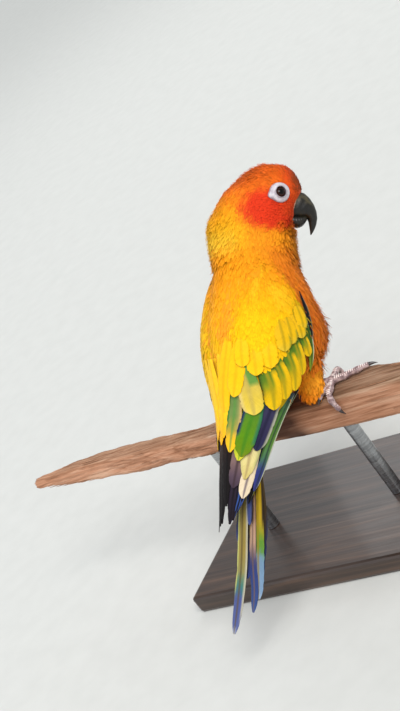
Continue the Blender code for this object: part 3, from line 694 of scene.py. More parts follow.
@dataclass(frozen=True)
class SurfaceFinish:
    """A skin, horn, wood or metal finish: a mottle between colours, a fine relief and a gloss."""

    name: str
    stops: Stops             # places on the mottle with their colours
    roughness: tuple         # lowest and highest
    grain: tuple             # lengths of the mottle along x, y and z, in millimetres
    relief_grain: tuple
    relief: float
    distortion: float = 0.0
    metallic: float = 0.0
    ior: float = 1.5
    coat: float = 0.0
    subsurface: float = 0.0
    attribute: str = ""      # a grey value on the mesh that is added to the mottle

    def build(self) -> Material:
        """Make the material on Object coordinates.

        Returns:
            The material.
        """
        recipe = Recipe(self.name)
        value = recipe.grain(self.grain, 5.0, self.distortion)
        if self.attribute:
            tone = recipe.maths("MULTIPLY_ADD", recipe.stored(self.attribute), 1.0, value)
            value = recipe.maths("ADD", tone, -0.5)
        relief = recipe.grain(self.relief_grain, 5.0)
        inputs = {
            "Base Color": recipe.coloured(value, self.stops),
            "Normal": recipe.bump(relief, self.relief, 0.0004),
            "Roughness": recipe.ranged(relief, 0.3, 0.7, *self.roughness),
            "Metallic": self.metallic, "IOR": self.ior, "Coat Weight": self.coat, "Coat Roughness": 0.08,
        }
        if self.subsurface:
            inputs.update({"Subsurface Weight": self.subsurface, "Subsurface Radius": (0.0012, 0.0006, 0.0004)})
        return recipe.done(inputs)


class Finishes:
    """Every material of the part, each made once."""

    def __init__(self) -> None:
        """Build all materials."""
        # Small body feathers: soft, loose barbs, drawn coarser than the real 0.3 mm so that they show
        self.coat = FeatherFinish("contour_feathers", 0.9, 0.7, 0.3, 0.12).build()
        # Flight feathers: stiff, closely hooked barbs with a faint satin gloss
        self.flight = FeatherFinish("flight_feathers", 0.8, 0.52, 0.35, 0.16).build()
        # Horn of the bill: keratin sheath, polished by wear, with a painted olive-brown highlight along its
        # ridge
        self.bill = SurfaceFinish(
            "bill_keratin", ((0.25, "0A0805"), (0.5, "171309"), (0.78, "544C34")), (0.3, 0.5),
            (3.0, 3.0, 6.0), (0.9, 0.9, 2.4), 0.35, ior=1.48, coat=0.08, attribute="tone",
        ).build()
        # Bare, dry skin round the eye: chalky white with a grey and pink mottle
        self.ring = SurfaceFinish(
            "orbital_skin", ((0.3, "9C9098"), (0.5, "BFB7BF"), (0.75, "D6D1D6")), (0.5, 0.68),
            (2.0, 2.0, 2.0), (0.5, 0.5, 0.5), 0.5, ior=1.4, subsurface=0.08, attribute="tone",
        ).build()
        # Moist lid edge
        self.lid = SurfaceFinish(
            "lid_margin", ((0.3, "1E1716"), (0.7, "4A3A3A")), (0.25, 0.4), (1.0, 1.0, 1.0),
            (0.4, 0.4, 0.4), 0.3, ior=1.4,
        ).build()
        # Fleshy cere at the bill's base
        self.cere = SurfaceFinish(
            "cere_skin", ((0.3, "8F6A52"), (0.6, "BE9478"), (0.8, "D8B79C")), (0.45, 0.6), (1.5, 1.5, 1.5),
            (0.5, 0.5, 0.5), 0.45, ior=1.4, subsurface=0.06,
        ).build()
        # Scaled skin of the feet: dry, grey-pink, paler on the ridges of the scutes
        self.foot = SurfaceFinish(
            "foot_scutes", ((0.15, "80686A"), (0.45, "D8C0BE"), (0.75, "FBF0EC")), (0.42, 0.62),
            (2.2, 2.2, 2.2), (0.5, 0.5, 0.5), 0.6, ior=1.4, subsurface=0.05, attribute="tone",
        ).build()
        # Claw horn: dark and smooth, with a paler mottle
        self.claw = SurfaceFinish(
            "claw_keratin", ((0.3, "241F20"), (0.6, "3F393A"), (0.8, "6B615D")), (0.25, 0.42), (2.0, 2.0, 2.0),
            (0.5, 0.5, 1.5), 0.25, ior=1.54, coat=0.2,
        ).build()
        self.eye = self.eye_material()
        self.timber = self.timber_material()
        # Dark stained hardwood with a satin varnish, grain along x
        self.base = SurfaceFinish(
            "stained_walnut", ((0.25, "20150F"), (0.5, "3B2A20"), (0.75, "5A4232")), (0.28, 0.42),
            (90.0, 5.0, 5.0), (60.0, 1.6, 1.6), 0.22, distortion=0.6, ior=1.5, coat=0.25,
        ).build()
        # Brushed stainless rod: fine scratches round it
        self.rod = SurfaceFinish(
            "brushed_steel", ((0.3, "86888B"), (0.7, "B4B6B8")), (0.24, 0.4), (20.0, 20.0, 1.2),
            (6.0, 6.0, 0.5), 0.15,
            metallic=1.0,
        ).build()
        self.floor = self.floor_material()

    @staticmethod
    def eye_material() -> Material:
        """Make the wet eye: a black pupil in a dark brown iris, under a clear cornea."""
        recipe = Recipe("eye_wet")
        value = recipe.maths("MULTIPLY_ADD", recipe.speckle(2400.0, 2.0), 0.08, recipe.stored("radial"))
        stops = (
            (0.0, "050404"), (0.5, "070504"), (0.6, "2A1310"), (0.8, "3C1E16"), (0.92, "1B0F0D"),
            (1.0, "0B0808"),
        )
        return recipe.done({
            "Base Color": recipe.coloured(value, stops), "Roughness": 0.12, "IOR": 1.38,
            "Specular IOR Level": 0.16, "Coat Weight": 0.15, "Coat Roughness": 0.03,
        })

    @staticmethod
    def timber_material() -> Material:
        """Make the rough-sawn softwood: tan faces with fibres along x, greyed and dusty on top.

        Returns:
            A material that reads the value "weather", and a second value for the painted shadow of the bird.
        """
        recipe = Recipe("rough_sawn_softwood")
        fibre = recipe.grain((34.0, 1.6, 1.6), 6.0, 0.8)
        tone = recipe.maths("MULTIPLY_ADD", recipe.grain((80.0, 9.0, 7.0), 4.0, 1.5), 0.75, fibre)
        place = recipe.ranged(tone, 0.5, 1.2)
        side = recipe.coloured(place, ((0.0, "74482F"), (0.35, "A87658"), (0.6, "BE8B6D"), (1.0, "D4A98C")))
        top = recipe.coloured(place, ((0.0, "443022"), (0.4, "765A44"), (0.7, "967A62"), (1.0, "B8A08A")))
        wood = recipe.blended(recipe.stored("weather"), side, top)
        # Painted shadow of the bird: a dark brown patch on the timber under it
        wood_with_painted_shadow = recipe.blended(recipe.stored("bark"), wood, rgba("38211A"))
        return recipe.done({
            "Base Color": wood_with_painted_shadow, "Normal": recipe.bump(tone, 0.5, 0.0007), "Roughness": 0.85,
            "Specular IOR Level": 0.25,
        })

    @staticmethod
    def floor_material() -> Material:
        """Make the plain pale studio floor."""
        recipe = Recipe("pale_studio_paper")
        colour = recipe.coloured(recipe.speckle(60.0, 4.0), ((0.3, "CDCECA"), (0.7, "D1D2CE")))
        return recipe.done({"Base Color": colour, "Roughness": 0.9})


@dataclass
class Maker:
    """Makes pieces of the model with the shared finishes."""

    finishes: Finishes


# Plumage colours


class Region(IntEnum):
    """Feather tracts, each with its own size of feather."""

    FACE = 0
    CROWN = 1
    NAPE = 2
    NECK = 3
    BREAST = 4
    BACK = 5
    RUMP = 6
    THIGH = 7
    WING = 8


class Plumage:
    """The markings of a grown sun conure, by place on the body, with a painted highlight on the thighs and
    painted shade on the throat.
    """

    breast = ((90, "A88A1C"), (104, "C99A1C"), (118, "EE961C"), (140, "F0841C"), (165, "EA741C"),
              (204, "EE821C"))
    back = ((90, "B08C1C"), (104, "E8B81A"), (130, "FFD01A"), (165, "FFB212"), (190, "FFA010"),
            (206, "FF9C14"))
    wing = ((104, "E0B80C"), (140, "FCC208"), (170, "FCC008"), (184, "FAAA0A"), (196, "E8920A"),
            (203, "DC8410"))
    # Painted highlight: the thighs are paler from 138 to 144 in height, on their lit middle
    thigh = ((118, "FF8C1A"), (128, "FF8A1A"), (138, "FFA226"), (144, "FF9A20"), (160, "FF8A14"))
    crown = ((200, "F89018"), (214, "FF9A1A"), (232, "FC8A1A"), (246, "F4701C"), (259, "EC6418"))

    def body(self, points: Array) -> Array:
        """Colour points of the head, neck and trunk."""
        z = points[:, 2]
        share = smoothstep(88.0, 118.0, body_loft.aside(points))
        trunk = mixed(ramp(self.breast, z), ramp(self.back, z), share)
        return mixed(trunk, self.head(points), smoothstep(203.0, 214.0, z))

    def head(self, points: Array) -> Array:
        """Colour points of the head: red cheek, orange crown, golden nape and painted shade on the throat."""
        own = head_turned(points, -1.0)
        x, z = own[:, 0], own[:, 2]
        cheek = ((x - 3.0) / 16.0) ** 2 + ((z - 232.0) / 11.0) ** 2 + 0.3 * wander(own, (4.0, 4.0, 4.0), 2.2)
        colour = ramp(self.crown, z)
        for value, share in (
            ("FFB814", smoothstep(-4.0, -20.0, x) * smoothstep(244.0, 214.0, z)),
            ("FFD040", smoothstep(-12.0, -20.0, x) * smoothstep(226.0, 206.0, z) * 0.7),
            # Painted shade: darker orange low on the throat, under the head
            ("CC7410", smoothstep(0.0, 12.0, x) * smoothstep(215.0, 206.0, z) * 0.4),
            ("E63C1C", smoothstep(1.6, 0.5, cheek)),
            ("EE4E1C", smoothstep(6.0, 14.0, x) * smoothstep(224.0, 232.0, z) * 0.8),
        ):
            colour = toned(colour, value, share)
        return colour


plumage = Plumage()


# Skin


THIGH_PATH = np.array(
    [(10.0, 13.0, 159.0), (16.5, 14.2, 151.0), (20.5, 14.5, 143.5), (23.0, 14.3, 137.0), (23.8, 14.1, 131.0)]
)
THIGH_RADII = (7.6, 8.2, 8.0, 7.6, 5.4)
WING_CORE = (106.0, 199.5)


class Skin:
    """The bird's body under its feathers: one seamless surface that lies inside the solids."""

    voxel: float = 1.15
    smoothing: int = 8
    spread_passes: int = 3
    wing_sink: float = 3.0       # how deep a wing's inner face lies in the trunk

    def __init__(self) -> None:
        """Join the forms, remesh them and keep what the feathers need to find the surface."""
        bm = loft_bmesh(self._trunk())
        for mirror in (1.0, -1.0):
            loft_bmesh(self._wing(mirror), bm)
            loft_bmesh(self._thigh(mirror), bm)
        loft_bmesh(self._tail_root(), bm)
        bmesh.ops.recalc_face_normals(bm, faces=bm.faces)
        mesh = bpy.data.meshes.new("skin_form")
        bm.to_mesh(mesh)
        bm.free()
        item = linked(mesh)
        join_forms(item, self.voxel, self.smoothing)
        points = np.empty(len(item.data.vertices) * 3, np.float32)
        item.data.vertices.foreach_get("co", points)
        self.points = points.reshape(-1, 3).astype(float)
        faces = [list(p.vertices) for p in item.data.polygons]
        bpy.data.objects.remove(item)
        self.quads = np.array([f if len(f) == 4 else [*f, f[-1]] for f in faces])
        self.tree = BVHTree.FromPolygons(self.points.tolist(), faces)
        self.corner_normals = self._even_normals()
        self.face_normals = unit(self.corner_normals[self.quads].sum(axis=1))

    @staticmethod
    def _trunk() -> Array:
        """Give rings of the body from the vent to the crown."""
        heights = np.concatenate([np.linspace(100.0, 244.0, 70), np.linspace(245.0, 257.5, 12)])[:, None]
        angle = np.arange(72) * 5.0
        return body_loft.point(heights, angle[None, :], -COAT_DEPTH - belly_tuck(heights, angle))

    def _wing(self, mirror: float) -> Array:
        """Give rings of one folded wing's shoulder and arm."""
        z = np.linspace(*WING_CORE, 60)[:, None]
        across = np.linspace(0.0, 1.0, 24)[None, :]
        first, last = WING_FRONT(z) + 1.0, WING_BACK(z) - 1.0
        angle = first + (last - first) * across
        swell = WING_RIM + (1 - WING_RIM) * np.sin(math.pi * across) ** 0.6
        depth = WING_DEPTH(z) * swell - COAT_DEPTH * 0.8
        if mirror > 0:
            depth = depth * shoulder_share(z)
        bed = wing_bed.point(z, angle)
        normal = wing_bed.normal(z, angle)
        outer = bed + normal * np.maximum(depth, 0.1)[..., None]
        inner = bed - normal * self.wing_sink
        rings = np.concatenate([outer, inner[:, ::-1]], axis=1)
        rings[..., 1] *= mirror
        return rings + wing_drift(np.broadcast_to(z, rings.shape[:2]))

    @staticmethod
    def _thigh(mirror: float) -> Array:
        """Give rings of one feathered thigh."""
        share = np.linspace(0.0, 1.0, 24)
        keys = np.linspace(0.0, 1.0, len(THIGH_PATH))
        path = np.stack([np.interp(share, keys, THIGH_PATH[:, c]) for c in range(3)], axis=1)
        path[:, 1] *= mirror
        radii = np.interp(share, keys, THIGH_RADII) - COAT_DEPTH
        return tube_rings(path, radii, 28, np.array([1.0, 0.0, 0.0]))

    @staticmethod
    def _tail_root() -> Array:
        """Give rings of the flat root of the tail."""
        z = np.linspace(74.0, 104.0, 24)[:, None]
        rings = tail_loft.point(np.minimum(z, 100.0), np.arange(40)[None, :] * 9.0, -COAT_DEPTH * 0.6)
        rings[..., 2] = z
        return rings

    def _face_sizes(self) -> Array:
        """Give each face's direction, as long as twice its area."""
        corners = self.points[self.quads]
        return np.cross(corners[:, 2] - corners[:, 0], corners[:, 3] - corners[:, 1])

    def _even_normals(self) -> Array:
        """Give each point a normal averaged over its surroundings."""
        face = self._face_sizes()
        for _ in range(self.spread_passes):
            normals = np.zeros_like(self.points)
            for c in range(4):
                np.add.at(normals, self.quads[:, c], face)
            normals = unit(normals)
            face = normals[self.quads].sum(axis=1)
        return normals

    def settle(self, points: Array) -> tuple[Array, Array]:
        """Bring points onto the skin.

        Args:
            points: Bird frame points.

        Returns:
            The nearest points of the skin and its outward directions there.
        """
        found = [self.tree.find_nearest(point) for point in points.reshape(-1, 3).tolist()]
        spots = np.array([spot for spot, _, _, _ in found]).reshape(points.shape)
        return spots, self.face_normals[[face for _, _, face, _ in found]].reshape(points.shape)

    def sample(self, rng: np.random.Generator, density: float) -> Array:
        """Draw points evenly over the skin.

        Args:
            rng: The random numbers.
            density: Points for each square millimetre.

        Returns:
            The points.
        """
        area = np.linalg.norm(self._face_sizes(), axis=1) / 2
        face = rng.choice(len(area), size=int(area.sum() * density), p=area / area.sum())
        u, v = rng.random((2, len(face), 1))
        a, b, c, d = (self.points[self.quads][face, k] for k in range(4))
        return (a * (1 - u) + b * u) * (1 - v) + (d * (1 - u) + c * u) * v

    def dress(self, material: Material) -> Object:
        """Make the skin's own piece, coloured as the coat over it but a fifth darker, as painted shade where it
        shows between the feathers.
        """
        item = add_piece("plumage_skin", bird_frame.bird(self.points), self.quads, material)
        item.data.validate()
        # Painted shade: the skin is darker than the coat over it
        colours = tract_colour(self.points, tract_of(self.points)) * 0.8
        unwrap = np.stack([body_loft.locate(self.points)[0] * 0.35, self.points[:, 2]], axis=1)
        facing = unit(self.corner_normals * 0.4 + broad_normal(self.points) * 0.6)
        return mark_feathers(item, colours, unwrap, None, leaned(facing, self.corner_normals))


def broad_normal(points: Array) -> Array:
    """Give the outward direction of the whole body near points, without its small dents."""
    return body_loft.normal(np.clip(points[..., 2], 101.0, 257.0), body_loft.locate(points)[0])


# Where no feathers grow on the head, in its own axes
BILL_BASE = 15.5
BILL_HALF_WIDTH = 5.6
BILL_FOOT = 224.5
BILL_TOP = 243.6
BARE_EYE = (8.4, 16.4, 241.0)
BARE_EYE_REACH = (6.4, 8.0, 5.9)
# Middles of the bill's base, from which the face's feathers lie away, and of the short feathers round it
BILL_ROOT = (22.0, 0.0, 236.0)
SHORT_MIDDLE = (18.0, 0.0, 238.0)
# How far above the long coverts' roots the small feathers of the wing end
COVERT_OVERLAP = 8.0
# Where the small feathers of the wing begin and end, by angle round the body
ARCH = Curve(((60.0, 176.0), (84.0, 184.0), (92.0, 193.0), (108.0, 199.0), (119.0, 203.5), (132.0, 201.0),
              (146.0, 193.0), (156.0, 185.0), (170.0, 176.0)))
SCALLOPS = Curve(((60.0, 166.0), (91.0, 164.8), (97.0, 159.5), (102.0, 156.8), (108.0, 153.0), (120.0, 144.4),
                  (133.0, 140.6), (146.0, 143.0), (152.0, 131.0), (160.0, 129.0), (168.0, 122.0),
                  (180.0, 118.0)))


def tract_of(points: Array) -> Array:
    """Tell which Region each point of the skin belongs to.

    Args:
        points: Bird frame points on the skin.

    Returns:
        Their Region, as numbers.
    """
    y, z = points[:, 1], points[:, 2]
    angle, reach = body_loft.locate(points)
    aside = np.abs(angle)
    ahead = head_turned(points, -1.0)[:, 0]
    # A thigh is what stands out of the trunk in front of the wing
    gap = (reach - 1.0) * np.minimum(body_loft.depth(z), body_loft.width(z)) + belly_tuck(z, angle)
    low = (z < 163.0) & (z > 122.0) & (np.abs(y) > 1.0)
    inside = (aside > WING_FRONT(z) - 2.0) & (aside < WING_BACK(z) + 2.0)
    region = np.where(aside > 104.0, int(Region.BACK), int(Region.BREAST))
    for number, where in (
        (Region.RUMP, (z < 122.0) & (aside > 90.0)),
        (Region.NECK, z > 200.0),
        (Region.NAPE, z > 219.0),
        (Region.FACE, (z > 221.0) & (ahead > -9.0)),
        (Region.CROWN, (z > 246.0) & (ahead <= 6.0)),
        (Region.THIGH, low & (gap > 0.3) & (aside < 76.0)),
        (Region.WING, inside & (z > WING_CORE[0]) & (z < ARCH(aside)) & (gap > -1.6)),
    ):
        region[where] = number
    return region


def tract_colour(points: Array, regions: Array) -> Array:
    """Colour points of the skin by tract.

    Args:
        points: Bird frame points.
        regions: Their Region, for all or for each.

    Returns:
        Linear colours.
    """
    z = points[:, 2]
    edge = body_loft.aside(points) - WING_FRONT(z)
    olive = smoothstep(26.0, 5.0, edge) * smoothstep(188.0, 174.0, z)
    wing = toned(ramp(plumage.wing, z), "B8A814", olive * 0.7)
    colour = plumage.body(points)
    for number, own in ((Region.WING, wing), (Region.THIGH, ramp(plumage.thigh, z))):
        colour = np.where(np.broadcast_to(regions == number, z.shape)[:, None], own, colour)
    return colour


# Small feathers


@dataclass(frozen=True)
class Tract:
    """How one tract's feathers grow, in millimetres."""

    region: Region
    spacing: float
    length: float
    width: float
    rise: float              # height of the tip above the skin
    locks: float             # loose locks of barbs for each feather
    stray: float             # how far locks stand out of the coat
    piece: str


TRACTS = (
    Tract(Region.FACE, 1.15, 3.4, 1.7, 0.55, 2.4, 0.28, "face"),
    Tract(Region.CROWN, 1.25, 4.6, 1.8, 0.6, 2.8, 0.95, "crown"),
    Tract(Region.NAPE, 1.7, 7.0, 2.8, 0.9, 3.4, 0.6, "nape"),
    Tract(Region.NECK, 2.0, 8.6, 3.4, 0.95, 3.4, 0.55, "neck"),
    Tract(Region.BREAST, 2.5, 10.5, 4.6, 1.0, 3.4, 1.05, "breast"),
    Tract(Region.BACK, 3.0, 13.0, 6.0, 0.95, 4.4, 0.4, "back"),
    Tract(Region.RUMP, 2.8, 12.0, 5.4, 0.8, 3.4, 0.3, "back"),
    Tract(Region.THIGH, 1.8, 9.0, 3.0, 1.0, 4.0, 0.8, "thighs"),
    Tract(Region.WING, 2.5, 10.0, 6.0, 0.8, 5.0, 0.12, "wing_coverts"),
)


@dataclass
class Tufts:
    """Arrays that describe many small feathers at once."""

    root: Array
    lie: Array
    length: Array
    width: Array
    rise: Array
    colour: Array            # linear colour of each feather at its tip
    root_shade: float = 0.86
    camber: float = 0.05
    bend: float = 0.8        # below 1, a tuft leaves the skin near its root

    def kept(self, mask: Array) -> "Tufts":
        """Give only some of the feathers."""
        arrays = (self.root, self.lie, self.length, self.width, self.rise, self.colour)
        return Tufts(*(values[mask] for values in arrays), self.root_shade, self.camber, self.bend)


def wander(points: Array, grain: tuple, seed: float) -> Array:
    """Give smooth noise of about -1 to 1 at points, of given lengths along x, y and z."""
    scaled = points / grain + seed
    return np.array([noise.noise(Vector(p)) for p in scaled.tolist()]) * 1.6


def lie_of_plumage(points: Array, normals: Array, region: Region) -> Array:
    """Give the direction in which feathers lie.

    Args:
        points: Bird frame points on the skin.
        normals: The skin's outward directions.
        region: The tract.

    Returns:
        Unit directions along the skin.
    """
    down = np.broadcast_to((0.0, 0.0, -1.0), points.shape)
    own = head_turned(points, -1.0)
    reach = own - BILL_ROOT
    from_bill = unit(reach)
    from_bill[:, 2] -= 0.35 * smoothstep(250.0, 236.0, own[:, 2])
    share = smoothstep(44.0, 20.0, np.linalg.norm(reach, axis=1)) * (own[:, 2] > 214.0)
    lie = mixed(down, head_turned(unit(from_bill)), share)
    if region is Region.WING:
        # Wing coverts slant towards the leading edge, more so lower down
        slant = np.radians(np.interp(points[:, 2], (140.0, 196.0), (30.0, 6.0)))[:, None]
        around = unit(np.cross(normals, down))
        lie = down * np.cos(slant) + around * np.sign(around[:, :1] + 1e-6) * np.sin(slant)
    elif region is Region.THIGH:
        # Thigh feathers hang along the thigh, and the breast's part round it
        lie = unit(np.array([0.3, 0.0, -1.0]))[None, :]
    return unit(lie - normals * (lie * normals).sum(axis=1, keepdims=True))


def strand_faces(count: int, rings: int, sides: int) -> Array:
    """Give the quads of many like closed strands.

    Args:
        count: Number of strands.
        rings: Rings in each.
        sides: Points in each ring, 4 or more and even.

    Returns:
        Vertex numbers, one row for each quad.
    """
    wall = grid_faces(rings, sides)
    half = sides // 2
    # Both faces of a strand split along the same diagonals, or a twist would push one through the other
    under = np.arange(len(wall)) % sides >= half
    wall[under] = np.roll(wall[under], -1, axis=1)
    first = np.arange(half - 1)
    cap = np.stack([first, first + 1, sides - 2 - first, sides - 1 - first], axis=1)
    pattern = np.concatenate([wall, cap[:, ::-1], cap + (rings - 1) * sides])
    return (pattern[None] + (np.arange(count) * rings * sides)[:, None, None]).reshape(-1, 4)


@dataclass
class Coat(Maker):
    """The small feathers that cover the skin, joined into a few pieces."""

    skin: Skin
    seed: int = 11
    thickness: float = 0.12
    sink: float = 0.3        # how deep a root lies under the skin
    patch: float = 0.003     # height of a feather's patch on the bake's map
    map_foot: float = 70.0   # heights on the body that the bake's map spans
    map_span: float = 200.0
    fringe_top: float = 141.0
    fringe_share: int = 7    # hanging feathers for each root on the thigh
    body_lean: float = 0.6   # how far the shading leans to the whole body's form
    thigh_lean: float = 0.05

    vane_profile = (0.5, 0.95, 1.0, 0.74, 0.14)
    lock_profile = (0.55, 1.0, 0.7, 0.12)
    sides = np.array([-1.0, 0.0, 1.0, 0.0])

    def __post_init__(self) -> None:
        """Start the random numbers."""
        self.rng = np.random.default_rng(self.seed)

    def roots(self, tract: Tract) -> tuple[Array, Array]:
        """Choose the roots of one tract's feathers.

        Args:
            tract: The tract.

        Returns:
            Points on the skin, and its directions there.
        """
        cloud = self.skin.sample(self.rng, 6.0 / tract.spacing**2)
        wanted = tract_of(cloud) == tract.region
        if tract.region is Region.WING:
            # Its upper edge starts under the neck's feathers
            wanted |= tract_of(cloud - (0.0, 0.0, 3.5)) == tract.region
        cloud = cloud[wanted]
        _, first = np.unique(np.floor(cloud / tract.spacing).astype(int), axis=0, return_index=True)
        spots, normals = self.skin.settle(cloud[first])
        keep = ~self.bare(spots, tract.region)
        return spots[keep], normals[keep]

    @staticmethod
    def bare(points: Array, region: Region) -> Array:
        """Tell where no small feathers grow: at the eyes and bill, and under the long coverts."""
        own = head_turned(points, -1.0)
        x, y, z = own.T
        clear = (x > BILL_BASE) & (np.abs(y) < BILL_HALF_WIDTH) & (z > BILL_FOOT) & (z < BILL_TOP)
        for sign in (1.0, -1.0):
            off = (own - np.array(BARE_EYE) * (1.0, sign, 1.0)) / BARE_EYE_REACH
            clear |= (off**2).sum(axis=1) < 1.0
        if region is Region.WING:
            clear |= points[:, 2] < SCALLOPS(body_loft.aside(points)) + COVERT_OVERLAP
        return clear

    def tufts(self, tract: Tract) -> Tufts:
        """Describe one tract's feathers.

        Args:
            tract: The tract.

        Returns:
            Its feathers.
        """
        root, normal = self.roots(tract)
        rng = self.rng
        count = len(root)
        lie = lie_of_plumage(root, normal, tract.region)
        swing = np.radians(rng.normal(0.0, 5.0, count))[:, None]
        lie = lie * np.cos(swing) + np.cross(normal, lie) * np.sin(swing)
        length = tract.length * rng.uniform(0.85, 1.12, count)
        if tract.region is not Region.WING:
            # The wing's edge stays clear of the neck's and back's feathers
            crossing = tract_of(self.skin.settle(root + lie * length[:, None])[0])
            length = np.where(crossing == Region.WING, length * 0.7, length)
        own = head_turned(root, -1.0)
        from_bill = np.linalg.norm(own - SHORT_MIDDLE, axis=1)
        near = smoothstep(12.0, 3.0, from_bill - 6.0) * (own[:, 2] > 222.0)
        length = length * (1.0 - 0.35 * near)
        width = tract.width * rng.uniform(0.88, 1.12, count) * (1.0 - 0.35 * near)
        rise = tract.rise * np.exp(rng.normal(0.0, 0.1, count)) * (1.0 - 0.3 * near) + self.fluff(root)
        colour = tract_colour(root + lie * length[:, None] * 0.7, tract.region)
        return Tufts(root, lie, length, width, rise, self.vary(colour, root, tract.region))

    @staticmethod
    def fluff(root: Array) -> Array:
        """Give how much further the plumage stands out where it is loose, in millimetres."""
        z = root[:, 2]
        ahead = head_turned(root, -1.0)[:, 0]
        aside = body_loft.aside(root)
        crown = 1.2 * smoothstep(248.0, 256.0, z)
        nape = 1.9 * smoothstep(110.0, 150.0, aside) * band(z, (202.0, 212.0), (240.0, 226.0))
        chin = 2.1 * smoothstep(7.0, 14.0, ahead) * band(z, (204.0, 214.0), (231.0, 224.0))
        breast = 3.8 * smoothstep(100.0, 60.0, aside) * band(z, (147.0, 159.0), (190.0, 174.0))
        return crown + nape + chin + breast

    def vary(self, colour: Array, root: Array, region: Region) -> Array:
        """Drift the colour over the coat, as grown plumage does, and paint shade into the crease between breast
        and thighs.

        Args:
            colour: Linear colours.
            root: The feathers' roots.
            region: Their tract.

        Returns:
            The changed colours.
        """
        cloud = wander(root, (9.0, 9.0, 16.0), 3.1)
        colour = colour * np.exp(0.05 * cloud + self.rng.normal(0.0, 0.025, len(colour)))[:, None]
        gilded = (Region.NECK, Region.NAPE, Region.BREAST, Region.THIGH)
        for regions, value, grain, seed, low, high, most in (
            ((Region.BACK,), "FF9A24", (4.5, 4.5, 26.0), 7.7, 0.0, 0.35, 0.85),
            ((Region.WING,), "FFC21E", (7.0, 7.0, 16.0), 1.3, 0.1, 0.6, 0.6),
            (gilded, "FFB01E", (4.0, 4.0, 7.0), 5.2, 0.15, 0.6, 0.22),
        ):
            if region in regions:
                colour = toned(colour, value, smoothstep(low, high, wander(root, grain, seed)) * most)
        if region is Region.BREAST:
            # Painted shade: a dark band in the crease between breast and thighs
            fold = np.exp(-(((root[:, 2] - 145.5) / 4.5) ** 2))
            fold = fold * smoothstep(85.0, 60.0, body_loft.aside(root))
            colour = toned(colour, "7E380C", fold * 0.6)
        if region in (Region.CROWN, Region.FACE):
            fleck = smoothstep(0.25, 0.6, wander(root, (1.6, 1.6, 1.6), 9.4))
            fleck = fleck * smoothstep(240.0, 250.0, root[:, 2])
            # Olive tips jut over the bill's base
            own = head_turned(root, -1.0)
            brow = smoothstep(15.0, 18.5, own[:, 0]) * smoothstep(241.0, 244.0, own[:, 2])
            colour = toned(toned(colour, "9A4A14", fleck * 0.45), "5A3A14", brow * 0.65)
        return colour

    def locks(self, base: Tufts, tract: Tract) -> Tufts:
        """Describe the loose locks of barbs that blur and fringe the feathers.

        Args:
            base: The feathers that they grow between.
            tract: Their tract.

        Returns:
            The locks.
        """
        rng = self.rng
        pick = rng.integers(0, len(base.root), int(len(base.root) * tract.locks))
        count = len(pick)
        spread = base.width[pick, None] * rng.normal(0.0, 0.4, (count, 3))
        lie = unit(base.lie[pick] + rng.normal(0.0, 0.13, (count, 3)))
        along = base.length[pick, None] * rng.uniform(-0.1, 0.5, (count, 1))
        root = base.root[pick] + spread + base.lie[pick] * along
        length = base.length[pick] * rng.uniform(0.4, 0.75, count)
        loose = tract.stray + 0.35 * np.maximum(0.0, base.rise[pick] - tract.rise)
        rise = base.rise[pick] * 0.95 + 0.12 + loose * rng.random(count) ** 3
        width = np.clip(base.width[pick] * rng.uniform(0.16, 0.34, count), 0.3, 1.1)
        colour = base.colour[pick] * np.exp(rng.normal(0.05, 0.075, count))[:, None]
        return Tufts(root, lie, length, width, rise, colour, 0.88, 0.2, 0.75)

    def bake_places(self, root: Array, own: Array) -> Array:
        """Give each feather a patch of the bake's map at its place on the body.

        Args:
            root: The feathers' roots.
            own: Places in the patch, -1 to 1 across and 0 to 1 along.

        Returns:
            Places on the map.
        """
        around = body_loft.locate(root)[0] / 360.0 + 0.5
        above = (root[:, 2] - self.map_foot) / self.map_span
        spot = np.stack([around, above], axis=-1) * 0.98 + 0.01
        places = spot[:, None, None, :] + (own - (0.0, 0.5)) * (self.patch / 2, self.patch)
        return np.clip(places, 0.001, 0.999)

    def strands(self, tufts: Tufts, profile: Sequence[float], lean: float) -> list[Array]:
        """Shape feathers that follow the skin, except those that a crease would fold over.

        Args:
            tufts: The feathers.
            profile: Share of the width at each ring.
            lean: How far the shading leans to the whole body's form.

        Returns:
            Points, colours, places on the vanes and on the bake's map, and shading directions.
        """
        rings = len(profile)
        step = tufts.length / (rings - 1)
        spot, direction = tufts.root, tufts.lie
        found = []
        for _ in range(rings):
            spot, normal = self.skin.settle(spot)
            found.append((spot, normal))
            direction = unit(direction - normal * (direction * normal).sum(axis=1, keepdims=True))
            spot = spot + direction * step[:, None]
        centre, normals = (np.stack(values, axis=1) for values in zip(*found))
        share = np.linspace(0.0, 1.0, rings)
        lift = -self.sink + (tufts.rise[:, None] + self.sink) * share[None, :] ** tufts.bend
        centre = centre + normals * lift[..., None]
        along = unit(np.gradient(centre, axis=1))
        side = unit(np.cross(along, normals))
        up = np.cross(side, along)
        half = tufts.width[:, None] * np.asarray(profile)[None, :] / 2
        low = up * (half * tufts.camber)[..., None]
        top = centre + low * 0.4
        edge = side * half[..., None]
        points = np.stack([centre - edge - low, top, centre + edge - low, top - up * self.thickness], axis=2)
        way = unit(np.diff(centre, axis=1))
        rise = np.cross(side[:, 1:] + side[:, :-1], way)
        ahead = (np.diff(points, axis=1) * way[:, :, None]).sum(axis=-1).min(axis=2) / step[:, None]
        checks = ((side[:, 1:] * side[:, :-1]).sum(axis=-1) - 0.7, ahead - 0.35,
                  (rise * up[:, 1:]).sum(axis=-1) - 1.2, (rise * up[:, :-1]).sum(axis=-1) - 1.2)
        sound = np.min(checks, axis=0).min(axis=1) > 0.0
